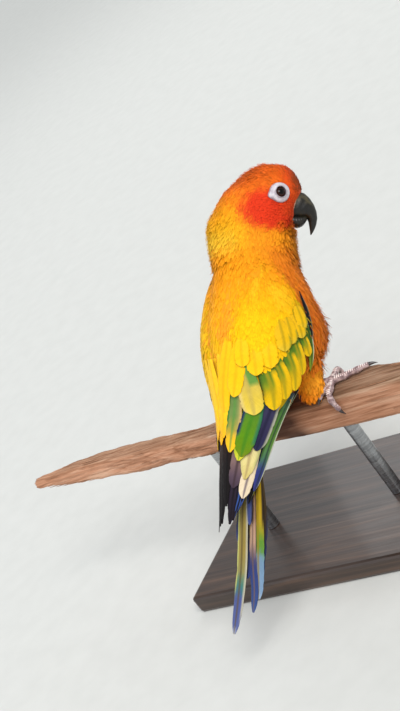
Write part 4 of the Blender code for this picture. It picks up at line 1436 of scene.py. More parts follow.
        # Painted shade: each feather darkens towards its root, and on its edges and underside
        shade = tufts.root_shade + (1.0 - tufts.root_shade) * smoothstep(0.1, 0.7, share)
        edge_and_underside_shade = np.array([0.97, 1.0, 0.97, 0.85])
        colours = tufts.colour[:, None, None, :] * shade[None, :, None, None] * edge_and_underside_shade[None, None, :, None]
        colours[:, -1] *= 1.06
        across = half[..., None] * self.sides
        along_share = np.broadcast_to(share[None, :, None], across.shape)
        vane = np.stack([across, along_share * tufts.length[:, None, None]], axis=-1)
        own = np.stack([np.broadcast_to(self.sides, across.shape), along_share], axis=-1)
        # Loose barbs scatter light like the whole coat, so the shading leans to the skin's own direction
        base = leaned(unit(normals * 0.35 + up * 0.3 + broad_normal(centre) * lean), up)
        facing = np.stack([unit(base - side * 0.3), base, unit(base + side * 0.3), base], axis=2)
        shapes = (points, colours, vane, self.bake_places(tufts.root, own), facing)
        return [shape[sound] for shape in shapes]

    def thigh_fringe(self) -> Tufts:
        """Describe the long feathers that hang from the thighs over the timber.

        Returns:
            The feathers.
        """
        rng = self.rng
        root, _ = self.roots(next(t for t in TRACTS if t.region is Region.THIGH))
        root = np.repeat(root[root[:, 2] < self.fringe_top], self.fringe_share, axis=0)
        count = len(root)
        root = root + rng.normal(0.0, 0.6, (count, 3))
        lie = unit(np.array([0.1, 0.0, -1.0]) + rng.normal(0.0, 0.07, (count, 3)))
        colour = ramp(plumage.thigh, root[:, 2]) * np.exp(rng.normal(0.0, 0.07, count))[:, None]
        return Tufts(root, lie, rng.uniform(2.2, 4.6, count), rng.uniform(1.0, 2.8, count),
                     rng.uniform(0.6, 1.6, count), colour)

    def hanging(self, tufts: Tufts) -> list[Array]:
        """Shape feathers that leave the skin and hang free.

        Args:
            tufts: The feathers.

        Returns:
            What strands gives.
        """
        share = np.linspace(0.0, 1.0, len(self.lock_profile))
        _, normal = self.skin.settle(tufts.root)
        run = tufts.length[:, None, None] * share[None, :, None]
        lift = tufts.rise[:, None] * share * (1.3 - share) - 0.4 * (1 - share)
        centre = tufts.root[:, None] + tufts.lie[:, None] * run + normal[:, None] * lift[..., None]
        half = (tufts.width[:, None] * np.asarray(self.lock_profile)[None, :] / 2)[..., None]
        edge = unit(np.cross(tufts.lie, normal))[:, None] * half
        up = normal[:, None]
        points = np.stack([centre - edge, centre + up * half * 0.3, centre + edge,
                           centre - up * (half * 0.3 + 0.06)], axis=2)
        shade = np.linspace(0.8, 1.08, len(share))[None, :, None, None]
        colours = np.broadcast_to(tufts.colour[:, None, None] * shade, points.shape)
        own = np.stack(np.broadcast_arrays(self.sides, share[None, :, None], run * 0.0)[:2], axis=-1)
        facing = np.broadcast_to(unit(normal * 0.6 + (-0.8, 0.0, 0.2))[:, None, None], points.shape)
        return [points, colours, own * (0.5, 9.0), self.bake_places(tufts.root, own), facing]

    def join(self, name: str, shapes: Sequence[Sequence[Array]]) -> Object:
        """Join shaped feathers into one piece.

        Args:
            name: The piece's name.
            shapes: What strands gives, for each group of feathers.

        Returns:
            The piece.
        """
        faces, start = [], 0
        for shape in shapes:
            count, rings, sides, _ = shape[0].shape
            faces.append(strand_faces(count, rings, sides) + start)
            start += count * rings * sides
        points, *rest = (np.concatenate([s[k].reshape(-1, s[k].shape[-1]) for s in shapes]) for k in range(5))
        item = add_piece(name, bird_frame.bird(points), np.concatenate(faces), self.finishes.coat)
        return mark_feathers(item, *rest)

    def build(self) -> list[Object]:
        """Make all pieces of the coat.

        Returns:
            The pieces.
        """
        grown: dict[str, list] = {}
        for tract in TRACTS:
            base = self.tufts(tract)
            layers = [(base, self.vane_profile), (self.locks(base, tract), self.lock_profile)]
            if tract.region is not Region.WING:
                grown.setdefault(tract.piece, []).extend(layers)
                continue
            for side, sign in (("right", -1.0), ("left", 1.0)):
                grown[f"{tract.piece}_{side}"] = [
                    (tufts.kept(tufts.root[:, 1] * sign > 0), profile) for tufts, profile in layers
                ]
        made = [self.join("coat_thigh_fringe", [self.hanging(self.thigh_fringe())])]
        for name, layers in grown.items():
            lean = self.thigh_lean if name == "thighs" else self.body_lean
            made.append(self.join(f"coat_{name}", [self.strands(*layer, lean) for layer in layers]))
        return made


# Long feathers


@dataclass(frozen=True)
class Marking:
    """The colours of one vane: along it, on its two edges and at its shaft."""

    along: tuple
    front: tuple = ()        # colour, share of the half width, first and last place along
    back: tuple = ()
    shaft: str = "3A2C22"
    front_half: str = ""     # another colour for the whole half towards the breast


@dataclass(frozen=True)
class Vane:
    """One long feather: where it roots and ends, and its make."""

    root: tuple              # height, and angle round the bed
    tip: tuple
    width: float
    lifts: tuple             # above the bed at the root and the tip
    marking: Marking
    outline: tuple
    tilt: float = 6.0        # degrees by which the back edge lies under
    bow: float = 0.0         # sideways bend of the middle, in degrees round the bed
    ragged: float = 1.0      # how much the edges and tip fray


BLUNT = ((0.0, 0.5), (0.25, 0.86), (0.6, 1.0), (0.85, 0.92), (0.94, 0.72), (0.985, 0.42), (1.0, 0.2))
SLIVER = ((0.0, 0.1), (0.3, 0.85), (0.7, 0.9), (0.9, 0.6), (1.0, 0.1))
POINTED = ((0.0, 0.55), (0.3, 0.9), (0.6, 0.94), (0.84, 0.66), (0.95, 0.38), (1.0, 0.16))
LONG = ((0.0, 0.6), (0.3, 0.9), (0.65, 1.0), (0.88, 0.86), (0.96, 0.58), (1.0, 0.2))


@dataclass
class VaneMesh:
    """Builds long feathers as thin closed vanes with a raised shaft."""

    rng: np.random.Generator
    rows: int = 26
    thickness: float = 0.22
    shaft: float = 0.16
    crowding: float = 1.35       # above 1, rows lie closer together at the tip
    patch: float = 0.88          # size of a vane's patch on the bake's map, per cell
    points: list = field(default_factory=list)
    colours: list = field(default_factory=list)
    places: list = field(default_factory=list)

    columns = np.array([-1.0, -0.86, -0.6, -0.3, -0.07, 0.07, 0.3, 0.6, 0.86, 1.0])

    def __post_init__(self) -> None:
        """Place the rows."""
        self.share = 1.0 - (1.0 - np.linspace(0.0, 1.0, self.rows)) ** self.crowding

    @staticmethod
    def both_sides(values: Array, under: float = 1.0) -> Array:
        """Repeat values of a vane's top for its underside, in the order of a ring."""
        return np.concatenate([values, values[:, ::-1] * under], axis=1)

    def add(
        self, centre: Array, normal: Array, width: float, outline: tuple, marking: Marking, tilt: float,
        ragged: float = 1.0, camber: float = 0.05,
    ) -> None:
        """Add one vane.

        Args:
            centre: Its middle line, one point for each row, root to tip.
            normal: The outward direction at each point.
            width: Its full width.
            outline: Shares of the width along it.
            marking: Its colours.
            tilt: Degrees by which its back edge lies under.
            ragged: How much its edges and tip fray.
            camber: Rise of the shaft over the edges, per width.
        """
        share, s = self.share, self.columns
        along = unit(np.gradient(centre, axis=0))
        side = unit(np.cross(along, normal))
        up = np.cross(side, along)
        t = math.radians(tilt)
        side, up = side * math.cos(t) - up * math.sin(t), up * math.cos(t) + side * math.sin(t)
        breadth = Curve(outline)(share)
        half = width * breadth / 2
        # Splits between barbs notch the edges
        notch = np.ones((self.rows, len(s)))
        for column in (0, len(s) - 1):
            wave = 1.0 + 0.02 * ragged * self.rng.normal(size=self.rows)
            for _ in range(2):
                wave[self.rng.integers(self.rows // 2, self.rows - 2)] -= ragged * self.rng.uniform(0.04, 0.12)
            notch[:, column] = wave
        across = s[None, :] * notch * half[:, None]
        rise = -camber * width * breadth[:, None] * s[None, :] ** 2
        rise = rise + self.rng.normal(0.0, 0.03, rise.shape) * (np.abs(s) > 0.8)
        ridge = self.shaft * (np.abs(s) < 0.1)
        lifted = rise + ridge * (1.0 - 0.6 * share[:, None])
        # The middle of a row reaches further than its edges
        reach = 0.22 * half[:, None] * (1.0 - s[None, :] ** 2) * smoothstep(0.75, 1.0, share)[:, None]
        fray = self.rng.uniform(-1.0, 0.4, len(s)) * 0.25 * max(0.0, ragged - 1.0)
        reach = reach + fray[None, :] * smoothstep(0.8, 1.0, share)[:, None]
        top = centre[:, None] + side[:, None] * across[..., None] + up[:, None] * lifted[..., None]
        top = top + along[:, None] * reach[..., None]
        bottom = top - up[:, None] * (self.thickness + ridge)[None, :, None]
        self.points.append(np.concatenate([top, bottom[:, ::-1]], axis=1))
        self.colours.append(self.both_sides(self._colours(marking), 0.6))
        length = np.linalg.norm(np.diff(centre, axis=0), axis=1).sum()
        place = np.stack([across, share[:, None] * length + np.zeros_like(across)], axis=-1)
        self.places.append(self.both_sides(place))

    def _colours(self, marking: Marking) -> Array:
        """Colour one vane, by row and column."""
        share, s = self.share, self.columns
        drift = self.rng.normal(0.0, 0.008, (self.rows, len(s)))
        colour = ramp(marking.along, np.clip(share[:, None] - 0.03 * np.abs(s)[None, :] + drift, 0.0, 1.0))
        # The side direction points to the back, so the front half has negative places
        if marking.front_half:
            colour = toned(colour, marking.front_half, (s < -0.02) * 0.85)
        for sign, edge in ((-1.0, marking.front), (1.0, marking.back)):
            if edge:
                value, wide, first, last = edge
                rows = band(share, (first - 0.05, first + 0.05), (last + 0.05, last - 0.05))
                cover = smoothstep(1.0 - wide - 0.12, 1.0 - wide + 0.05, s * sign)
                colour = toned(colour, value, rows[:, None] * cover[None, :])
        colour = toned(colour, marking.shaft, (np.abs(s) < 0.1) * 0.75)
        return colour * (1.0 + self.rng.normal(0.0, 0.02, colour.shape[:2]))[..., None]

    def build(self, name: str, material: Material, mirror: float = 0.0) -> Object:
        """Join all vanes into one piece.

        Args:
            name: The piece's name.
            material: Its finish.
            mirror: 1 for the bird's right wing, -1 for its left one and 0 for the tail.

        Returns:
            The piece.
        """
        count = len(self.points)
        points = np.concatenate(self.points).reshape(-1, 3)
        if mirror:
            points[:, 1] *= mirror
            points += wing_drift(points[:, 2])
        faces = strand_faces(count, self.rows, 2 * len(self.columns))
        item = add_piece(name, bird_frame.bird(points), faces[:, ::-1] if mirror < 0 else faces, material)
        cells = math.ceil(math.sqrt(count * 3))
        tall = math.ceil(count / cells)
        own = np.stack(np.broadcast_arrays(self.columns * 0.5 + 0.5, self.share[:, None]), axis=-1)
        patch = self.both_sides(own) * self.patch + (1.0 - self.patch) / 2
        bake = np.array([(patch + (i % cells, i // cells)) / (cells, tall) for i in range(count)])
        return mark_feathers(item, np.array(self.colours), np.array(self.places), bake)


GREATER = Marking(
    ((0.0, "4A6C1C"), (0.42, "56781E"), (0.56, "88901A"), (0.68, "CCA80E"), (0.85, "E8BA0A"), (1.0, "F0C414")),
    ("E8B80E", 0.45, 0.35, 1.0), ("3A4A22", 0.1, 0.1, 0.75), "A09018",
)
KHAKI = Marking(
    ((0.0, "B0A25A"), (0.3, "C2AE54"), (0.46, "CCB24A"), (0.75, "DCBE40"), (1.0, "E6CC50")),
    ("64903E", 0.9, 0.0, 0.46), ("D8C070", 0.3, 0.3, 1.0), "C0A850",
)
YELLOW = Marking(((0.0, "FFC014"), (0.7, "FFC20C"), (1.0, "FFC81A")), (), (), "EAAE0C")
OLIVE_YELLOW = Marking(
    ((0.0, "E0AE10"), (0.7, "E8B60C"), (1.0, "DCBC34")), ("A8961E", 0.3, 0.5, 1.0), (), "AE9010",
)
GOLD = Marking(((0.0, "FFC81E"), (0.6, "FFD01A"), (1.0, "FFB818")), (), (), "F0B414")
# Painted shade: a near-black sliver with a pale rim, laid along the wing's leading edge for the shadow in the
# gap there
LEADING_EDGE_SHADE = Marking(((0.0, "16151A"), (1.0, "1A1C1E")), ("D8C08A", 0.1, 0.1, 0.9), (), "0E0E12")
EDGE_GREEN = Marking(
    ((0.0, "44661E"), (0.6, "4A6E22"), (1.0, "8A9A2A")), ("DDE0C0", 0.2, 0.05, 0.85), (), "2A3A1A",
)
F_GREEN = Marking(
    ((0.0, "607E46"), (0.5, "708A48"), (0.68, "A0983C"), (0.8, "ECB81E"), (1.0, "FAC41A")),
    ("C0A264", 0.34, 0.0, 0.8), ("3E7A2E", 0.22, 0.0, 0.7), "5A8A3E",
)
G_GREEN = Marking(
    ((0.0, "44703A"), (0.35, "527E20"), (0.7, "58880E"), (0.92, "64820C"), (1.0, "747E12")),
    ("2E6E4A", 0.16, 0.0, 0.8), ("1E2C50", 0.26, 0.0, 0.72), "3E7A16",
)
G_UNDER = Marking(((0.0, "4E8A1E"), (0.8, "9AB41E"), (1.0, "D8CC3A")), (), (), "6A9A20")
NAVY = Marking(
    ((0.0, "3A4442"), (0.3, "3C3A56"), (0.7, "322E4E"), (1.0, "282A4A")),
    ("B8B89E", 0.14, 0.1, 0.95), ("1E4A50", 0.3, 0.0, 1.0), "201E38",
)
GREEN_STRIP = Marking(
    ((0.0, "3A4A5A"), (0.2, "4E7A3A"), (0.5, "66963A"), (0.66, "4E7A5A"), (0.78, "3C4484"), (1.0, "3A3F88")),
    ("DDE2C4", 0.2, 0.05, 0.97), ("3A5A2E", 0.2, 0.0, 0.7), "2A3A3A",
)
DARK_STRIP = Marking(((0.0, "1A1C1E"), (1.0, "121016")), ("BCD0A0", 0.16, 0.0, 0.95), (), "0C0A0E")
CREAM = Marking(
    ((0.0, "C8B878"), (0.4, "E0D296"), (0.75, "DACA84"), (1.0, "C8B468")),
    ("B4B070", 0.25, 0.1, 0.8), ("C8BC7A", 0.2, 0.0, 1.0), "A89060",
)
PINK_CREAM = Marking(((0.0, "D8C4A0"), (1.0, "E6D2B4")), (), (), "4E3E5A")
TAUPE = Marking(((0.0, "6A5048"), (0.55, "7E6460"), (0.8, "564450"), (1.0, "3A2C3A")), (), (), "3A2A2E")
PRIMARY = Marking(
    ((0.0, "3A2A34"), (0.6, "2A2030"), (1.0, "181018")), ("34508E", 0.2, 0.35, 0.95), ("140E14", 0.3, 0.0, 1.0),
    "120C12",
)
BLUE_PRIMARY = Marking(
    ((0.0, "2E3A5A"), (0.7, "26305E"), (1.0, "1A1828")), ("3E5AA0", 0.26, 0.0, 0.95), ("15111A", 0.4, 0.0, 1.0),
    "100C12",
)
BLACK_PRIMARY = Marking(
    ((0.0, "4A2210"), (0.3, "341A12"), (0.55, "181010"), (1.0, "0E0A0C")), (), ("241410", 0.2, 0.0, 0.5),
    "0A0808",
)


class Wings:
    """The long feathers of the folded wings: coverts of the hand and arm, and the flight feathers."""

    @staticmethod
    def primaries() -> list[Vane]:
        """List the outer flight feathers, the longest first."""
        listed = (
            ((113.4, 134.8), (60.4, 155.5), 9.0), ((122.0, 108.0), (62.5, 142.0), 8.6),
            ((122.0, 100.0), (67.0, 126.0), 8.2), ((122.0, 92.0), (73.0, 112.0), 7.6),
            ((122.0, 86.0), (79.5, 99.0), 7.2), ((123.0, 81.0), (86.0, 90.0), 6.8),
            ((124.0, 77.0), (93.0, 82.0), 6.4), ((125.0, 74.0), (100.0, 74.0), 6.0),
        )
        return [
            Vane(*ends, (0.3 + 0.1 * k, 0.5 + 0.12 * k), PRIMARY if k < 2 else BLUE_PRIMARY, POINTED, 2.0)
            for k, ends in enumerate(listed)
        ]

    @staticmethod
    def front() -> list[Vane]:
        """List the vanes of the wing's side, which both wings show."""
        return [
            Vane((133.6, 71.8), (71.8, 78.5), 4.6, (0.8, 1.4), DARK_STRIP, LONG, 2.0),
            Vane((130.0, 90.0), (80.5, 84.0), 7.6, (1.2, 1.8), BLUE_PRIMARY, LONG, 3.0),
            Vane((132.0, 81.8), (78.8, 78.0), 7.4, (1.6, 2.6), GREEN_STRIP, LONG, 3.0),
            Vane((138.0, 105.5), (100.2, 109.5), 10.0, (2.2, 3.6), NAVY, LONG, 4.0),
            # Painted shade: the near-black sliver along the leading edge
            Vane((185.6, 85.2), (154.4, 77.5), 3.4, (2.4, 3.0), LEADING_EDGE_SHADE, SLIVER, 2.0, -1.5),
            Vane((175.6, 89.0), (143.8, 73.2), 4.6, (2.4, 3.4), EDGE_GREEN, SLIVER, 3.0, -1.5),
            Vane((164.4, 93.5), (151.4, 80.8), 6.0, (3.4, 4.2), GREATER, BLUNT),
            Vane((164.0, 103.8), (141.8, 86.0), 7.2, (3.6, 5.0), GREATER, BLUNT),
            Vane((159.2, 111.8), (133.8, 87.5), 8.6, (3.6, 5.2), GREATER, BLUNT),
            Vane((154.2, 124.0), (129.0, 94.8), 9.4, (3.6, 5.2), GREATER, BLUNT),
            Vane((150.4, 131.5), (123.4, 104.5), 10.8, (3.6, 5.2), GREATER, BLUNT),
            Vane((177.6, 93.2), (164.8, 91.0), 7.0, (2.4, 5.0), OLIVE_YELLOW, BLUNT, 6.0, 0.0, 1.6),
            Vane((173.0, 97.8), (160.4, 92.2), 7.4, (2.4, 5.2), OLIVE_YELLOW, BLUNT, 6.0, 0.0, 1.6),
            Vane((171.0, 104.8), (156.8, 102.2), 8.4, (2.4, 5.4), OLIVE_YELLOW, BLUNT, 6.0, 0.0, 2.2),
            Vane((169.6, 112.2), (153.0, 108.0), 8.8, (2.4, 5.5), OLIVE_YELLOW, BLUNT, 6.0, 0.0, 2.2),
            Vane((162.8, 124.2), (144.4, 119.8), 9.4, (2.4, 5.6), YELLOW, BLUNT, 6.0, 0.0, 2.2),
        ]

    @staticmethod
    def right_back() -> list[Vane]:
        """List the vanes of the right wing's back edge, drawn aside as in the photo."""
        return [
            Vane((113.0, 143.0), (80.0, 148.2), 9.0, (0.9, 1.6), TAUPE, LONG, 3.0),
            Vane((108.8, 112.0), (74.6, 111.5), 7.5, (1.0, 2.0), PINK_CREAM, LONG, 2.0),
            Vane((118.8, 121.2), (84.8, 119.2), 11.0, (1.4, 2.6), CREAM, POINTED, 3.0),
            Vane((134.0, 132.0), (94.6, 142.0), 9.0, (2.4, 3.6), G_UNDER, LONG, 4.0),
            Vane((133.4, 127.5), (96.8, 136.5), 11.6, (2.6, 4.1), G_GREEN, LONG, 4.0),
            Vane((139.0, 155.8), (99.2, 163.8), 9.6, (2.2, 3.4), F_GREEN, LONG, 4.0),
            Vane((146.6, 149.5), (120.2, 129.2), 13.2, (3.4, 4.9), KHAKI, BLUNT),
            Vane((159.0, 136.0), (140.6, 132.8), 9.4, (2.4, 5.4), YELLOW, BLUNT, 6.0, 0.0, 2.2),
            Vane((160.0, 146.2), (145.4, 145.2), 8.6, (2.4, 5.0), YELLOW, BLUNT, 6.0, 0.0, 2.0),
            Vane((150.0, 192.0), (103.2, 200.0), 9.0, (-0.8, 1.8), GOLD, LONG, 2.0, 0.0, 1.6),
            Vane((152.0, 176.0), (107.0, 186.0), 10.0, (-0.6, 2.6), GOLD, LONG, 2.0, 0.0, 1.6),
            Vane((158.8, 162.5), (120.0, 180.0), 10.0, (-0.2, 3.0), YELLOW, BLUNT, 4.0, 0.0, 1.6),
            Vane((160.0, 147.2), (129.6, 157.2), 10.0, (1.4, 4.4), YELLOW, BLUNT, 4.0, 0.0, 1.6),
        ]

    @staticmethod
    def left_back() -> list[Vane]:
        """List the vanes of the left wing's back edge: black flight feathers under yellow ones."""
        return [
            Vane((124.0, 176.0), (70.0, 184.0), 8.4, (0.4, 0.8), BLACK_PRIMARY, POINTED, 2.0),
            Vane((124.0, 162.0), (63.0, 165.0), 8.4, (0.5, 0.9), BLACK_PRIMARY, POINTED, 2.0),
            Vane((124.0, 148.0), (59.0, 147.0), 8.4, (0.6, 1.0), BLACK_PRIMARY, POINTED, 2.0),
            Vane((124.0, 134.0), (55.8, 129.0), 7.8, (0.8, 1.2), BLACK_PRIMARY, POINTED, 2.0),
            Vane((150.0, 168.0), (110.0, 166.0), 9.4, (1.8, 2.2), GOLD, LONG, 3.0, 0.0, 1.6),
            Vane((150.0, 154.0), (106.0, 147.0), 9.0, (2.2, 2.6), GOLD, LONG, 3.0, 0.0, 1.6),
            Vane((150.0, 140.0), (100.6, 128.0), 8.0, (2.2, 2.6), YELLOW, LONG, 3.0, 0.0, 1.4),
            Vane((160.0, 136.0), (128.0, 118.0), 9.4, (3.2, 4.0), YELLOW, BLUNT, 4.0, 0.0, 1.6),
        ]

    def build(self, side: str, material: Material, seed: int) -> Object:
        """Make one wing's long feathers.

        Args:
            side: "right" or "left".
            material: Their finish.
            seed: Start of the random numbers.

        Returns:
            The piece.
        """
        maker = VaneMesh(np.random.default_rng(seed))
        share = maker.share
        back = self.right_back() if side == "right" else self.left_back()
        for vane in self.primaries() + self.front() + back:
            z = vane.root[0] + (vane.tip[0] - vane.root[0]) * share
            angle = vane.root[1] + (vane.tip[1] - vane.root[1]) * share + vane.bow * np.sin(math.pi * share)
            lift = vane.lifts[0] + (vane.lifts[1] - vane.lifts[0]) * np.minimum(1.0, share * 1.6)
            if side == "left":
                lift = lift * shoulder_share(z)
            normal = wing_bed.normal(z, angle)
            centre = wing_bed.point(z, angle) + normal * lift[:, None]
            for _ in range(24):
                centre[1:-1] = (centre[:-2] + 2.0 * centre[1:-1] + centre[2:]) / 4.0
                normal[1:-1] = unit(normal[:-2] + 2.0 * normal[1:-1] + normal[2:])
            maker.add(centre, normal, vane.width, vane.outline, vane.marking, vane.tilt, vane.ragged)
        return maker.build(f"vanes_wing_{side}", material, 1.0 if side == "right" else -1.0)


TAIL_LEFT = Marking(
    ((0.0, "8A7A3C"), (0.5, "94803E"), (0.62, "8C8450"), (0.665, "4A7C68"), (0.72, "3E7472"), (0.77, "4A568C"),
     (0.94, "525E92"), (0.98, "9CA0B0"), (1.0, "D8D4BC")),
    ("B8B29A", 0.14, 0.1, 0.9), ("C4C46A", 0.3, 0.05, 0.75), "5A4A2A",
)
TAIL_RIGHT = Marking(
    ((0.0, "A8881A"), (0.36, "B0901C"), (0.45, "8E8C24"), (0.52, "5A882A"), (0.6, "5E8A3A"), (0.66, "6C8AA2"),
     (0.92, "7892AE"), (1.0, "A0AEBE")),
    ("2E2418", 0.2, 0.0, 0.42), ("A8C070", 0.22, 0.2, 0.7), "8A7218",
)
TAIL_UNDER = Marking(
    ((0.0, "A07C58"), (0.48, "B49078"), (0.6, "504A64"), (0.66, "2E3A70"), (0.9, "34487C"), (1.0, "42588A")),
    ("2E241E", 0.3, 0.0, 0.6), ("8A7A4A", 0.2, 0.0, 0.5), "6A5448",
)
TAIL_BLUE = Marking(
    ((0.0, "363E62"), (1.0, "46527E")), ("26202A", 0.26, 0.0, 0.95), ("C8C4B4", 0.2, 0.3, 1.0), "3A4484",
)
TAIL_DARK = Marking(
    ((0.0, "4A3A1E"), (0.5, "3A2E20"), (0.75, "2E3450"), (1.0, "33407A")), (), ("6A6A34", 0.2, 0.1, 0.7),
    "241A14",
)
TAIL_SEED = 5
# Middle lines from root to tip, as height, depth and side
TAIL_LINES = (
    (((86, -9.0, 7.6), (60, -8.6, 9.4), (50, -8.6, 10.0)), 7.0, TAIL_DARK),
    (((86, -9.0, -9.0), (60, -8.0, -10.6), (50, -8.0, -11.0)), 7.0, TAIL_DARK),
    (((86, -9.3, 5.6), (60, -9.2, 6.4), (39, -9.2, 7.4)), 7.4, TAIL_DARK),
    (((86, -9.3, -8.6), (60, -8.5, -9.8), (40, -8.3, -10.2)), 7.6, TAIL_DARK),
    (((86, -9.8, 4.4), (50, -10.2, 4.6), (26, -10.6, 6.0)), 8.0, TAIL_DARK),
    (((86, -9.6, -7.8), (55, -9.0, -9.0), (31, -8.9, -9.4)), 8.0, TAIL_DARK),
    (((86, -9.9, 0.6), (60, -10.2, 0.0), (31, -10.6, -0.6)), 7.4, TAIL_DARK),
    (((86, -10.3, 3.4), (40, -11.2, 3.6), (24, -11.6, 4.8), (13, -12.0, 6.2)), 8.0, TAIL_DARK),
    (((88, -10.2, -4.6), (60, -10.4, -4.9), (40, -10.5, -5.1), (24, -10.6, -6.6), (13, -10.7, -5.6)), 6.6,
     TAIL_UNDER),
    (((88, -9.8, -8.6), (70, -10.0, -8.8), (45, -10.1, -9.2), (20.3, -9.9, -9.4)), 8.8, TAIL_RIGHT),
    (((92, -11.0, 2.9), (63, -11.4, 2.9), (37, -11.8, 3.4), (24.5, -12.2, 4.8), (16.5, -12.4, 5.8),
      (8.5, -12.7, 7.0), (0.6, -12.9, 8.4)), 9.2, TAIL_LEFT),
    (((92, -12.6, -4.9), (75, -12.8, -4.6), (60, -12.8, -4.9)), 5.4, TAIL_BLUE),
)


def build_tail(material: Material) -> Object:
    """Make the tail: twelve graduated vanes, the left middle one on top.

    Args:
        material: Their finish.

    Returns:
        The piece.
    """
    maker = VaneMesh(np.random.default_rng(TAIL_SEED))
    for line, width, marking in TAIL_LINES:
        z = line[0][0] + (line[-1][0] - line[0][0]) * maker.share
        x, y = (Curve([(p[0], p[k]) for p in sorted(line)])(z) for k in (1, 2))
        centre = np.stack([x, y, z], axis=1)
        normal = np.broadcast_to((-1.0, 0.0, 0.0), centre.shape)
        maker.add(centre, normal, width, LONG, marking, 2.0 if line[0][2] > 0 else -2.0)
    return maker.build("vanes_tail", material)


# Head


# Sizes of the head, in its own axes
EYE_CENTRE = (9.0, 16.4, 241.4)
EYE_RADIUS = 3.6
EYE_DEPTH = 2.3
IRIS_RADIUS = 3.1
CORNEA_RADIUS = 2.6
CORNEA_RISE = 0.25
NOSTRIL_CENTRE = (22.6, 4.0, 241.6)
NOSTRIL_RADIUS = 0.6
UPPER_BILL = (
    (16.0, 245.0, 13.5, 229.9, 6.0),
    (19.0, 244.8, 15.5, 229.8, 6.2),
    (23.8, 243.2, 17.6, 229.6, 6.0),
    (27.2, 239.6, 21.6, 229.9, 5.4),
    (29.6, 235.2, 23.6, 230.0, 4.6),
    (30.6, 230.6, 25.2, 228.9, 3.6),
    (30.2, 226.4, 26.0, 226.0, 2.5),
    (28.9, 222.9, 26.5, 222.9, 1.4),
    (27.3, 220.2, 26.8, 220.4, 0.3),
)
LOWER_BILL = (
    (14.5, 231.0, 15.5, 225.2, 5.0),
    (19.0, 231.0, 19.6, 224.2, 4.9),
    (22.0, 231.0, 22.6, 225.4, 4.2),
    (24.2, 230.8, 24.6, 228.0, 3.0),
    (25.4, 230.2, 25.2, 229.6, 1.4),
)


class BillHalf(Enum):
    """The two halves of the bill."""

    UPPER = "upper"
    LOWER = "lower"


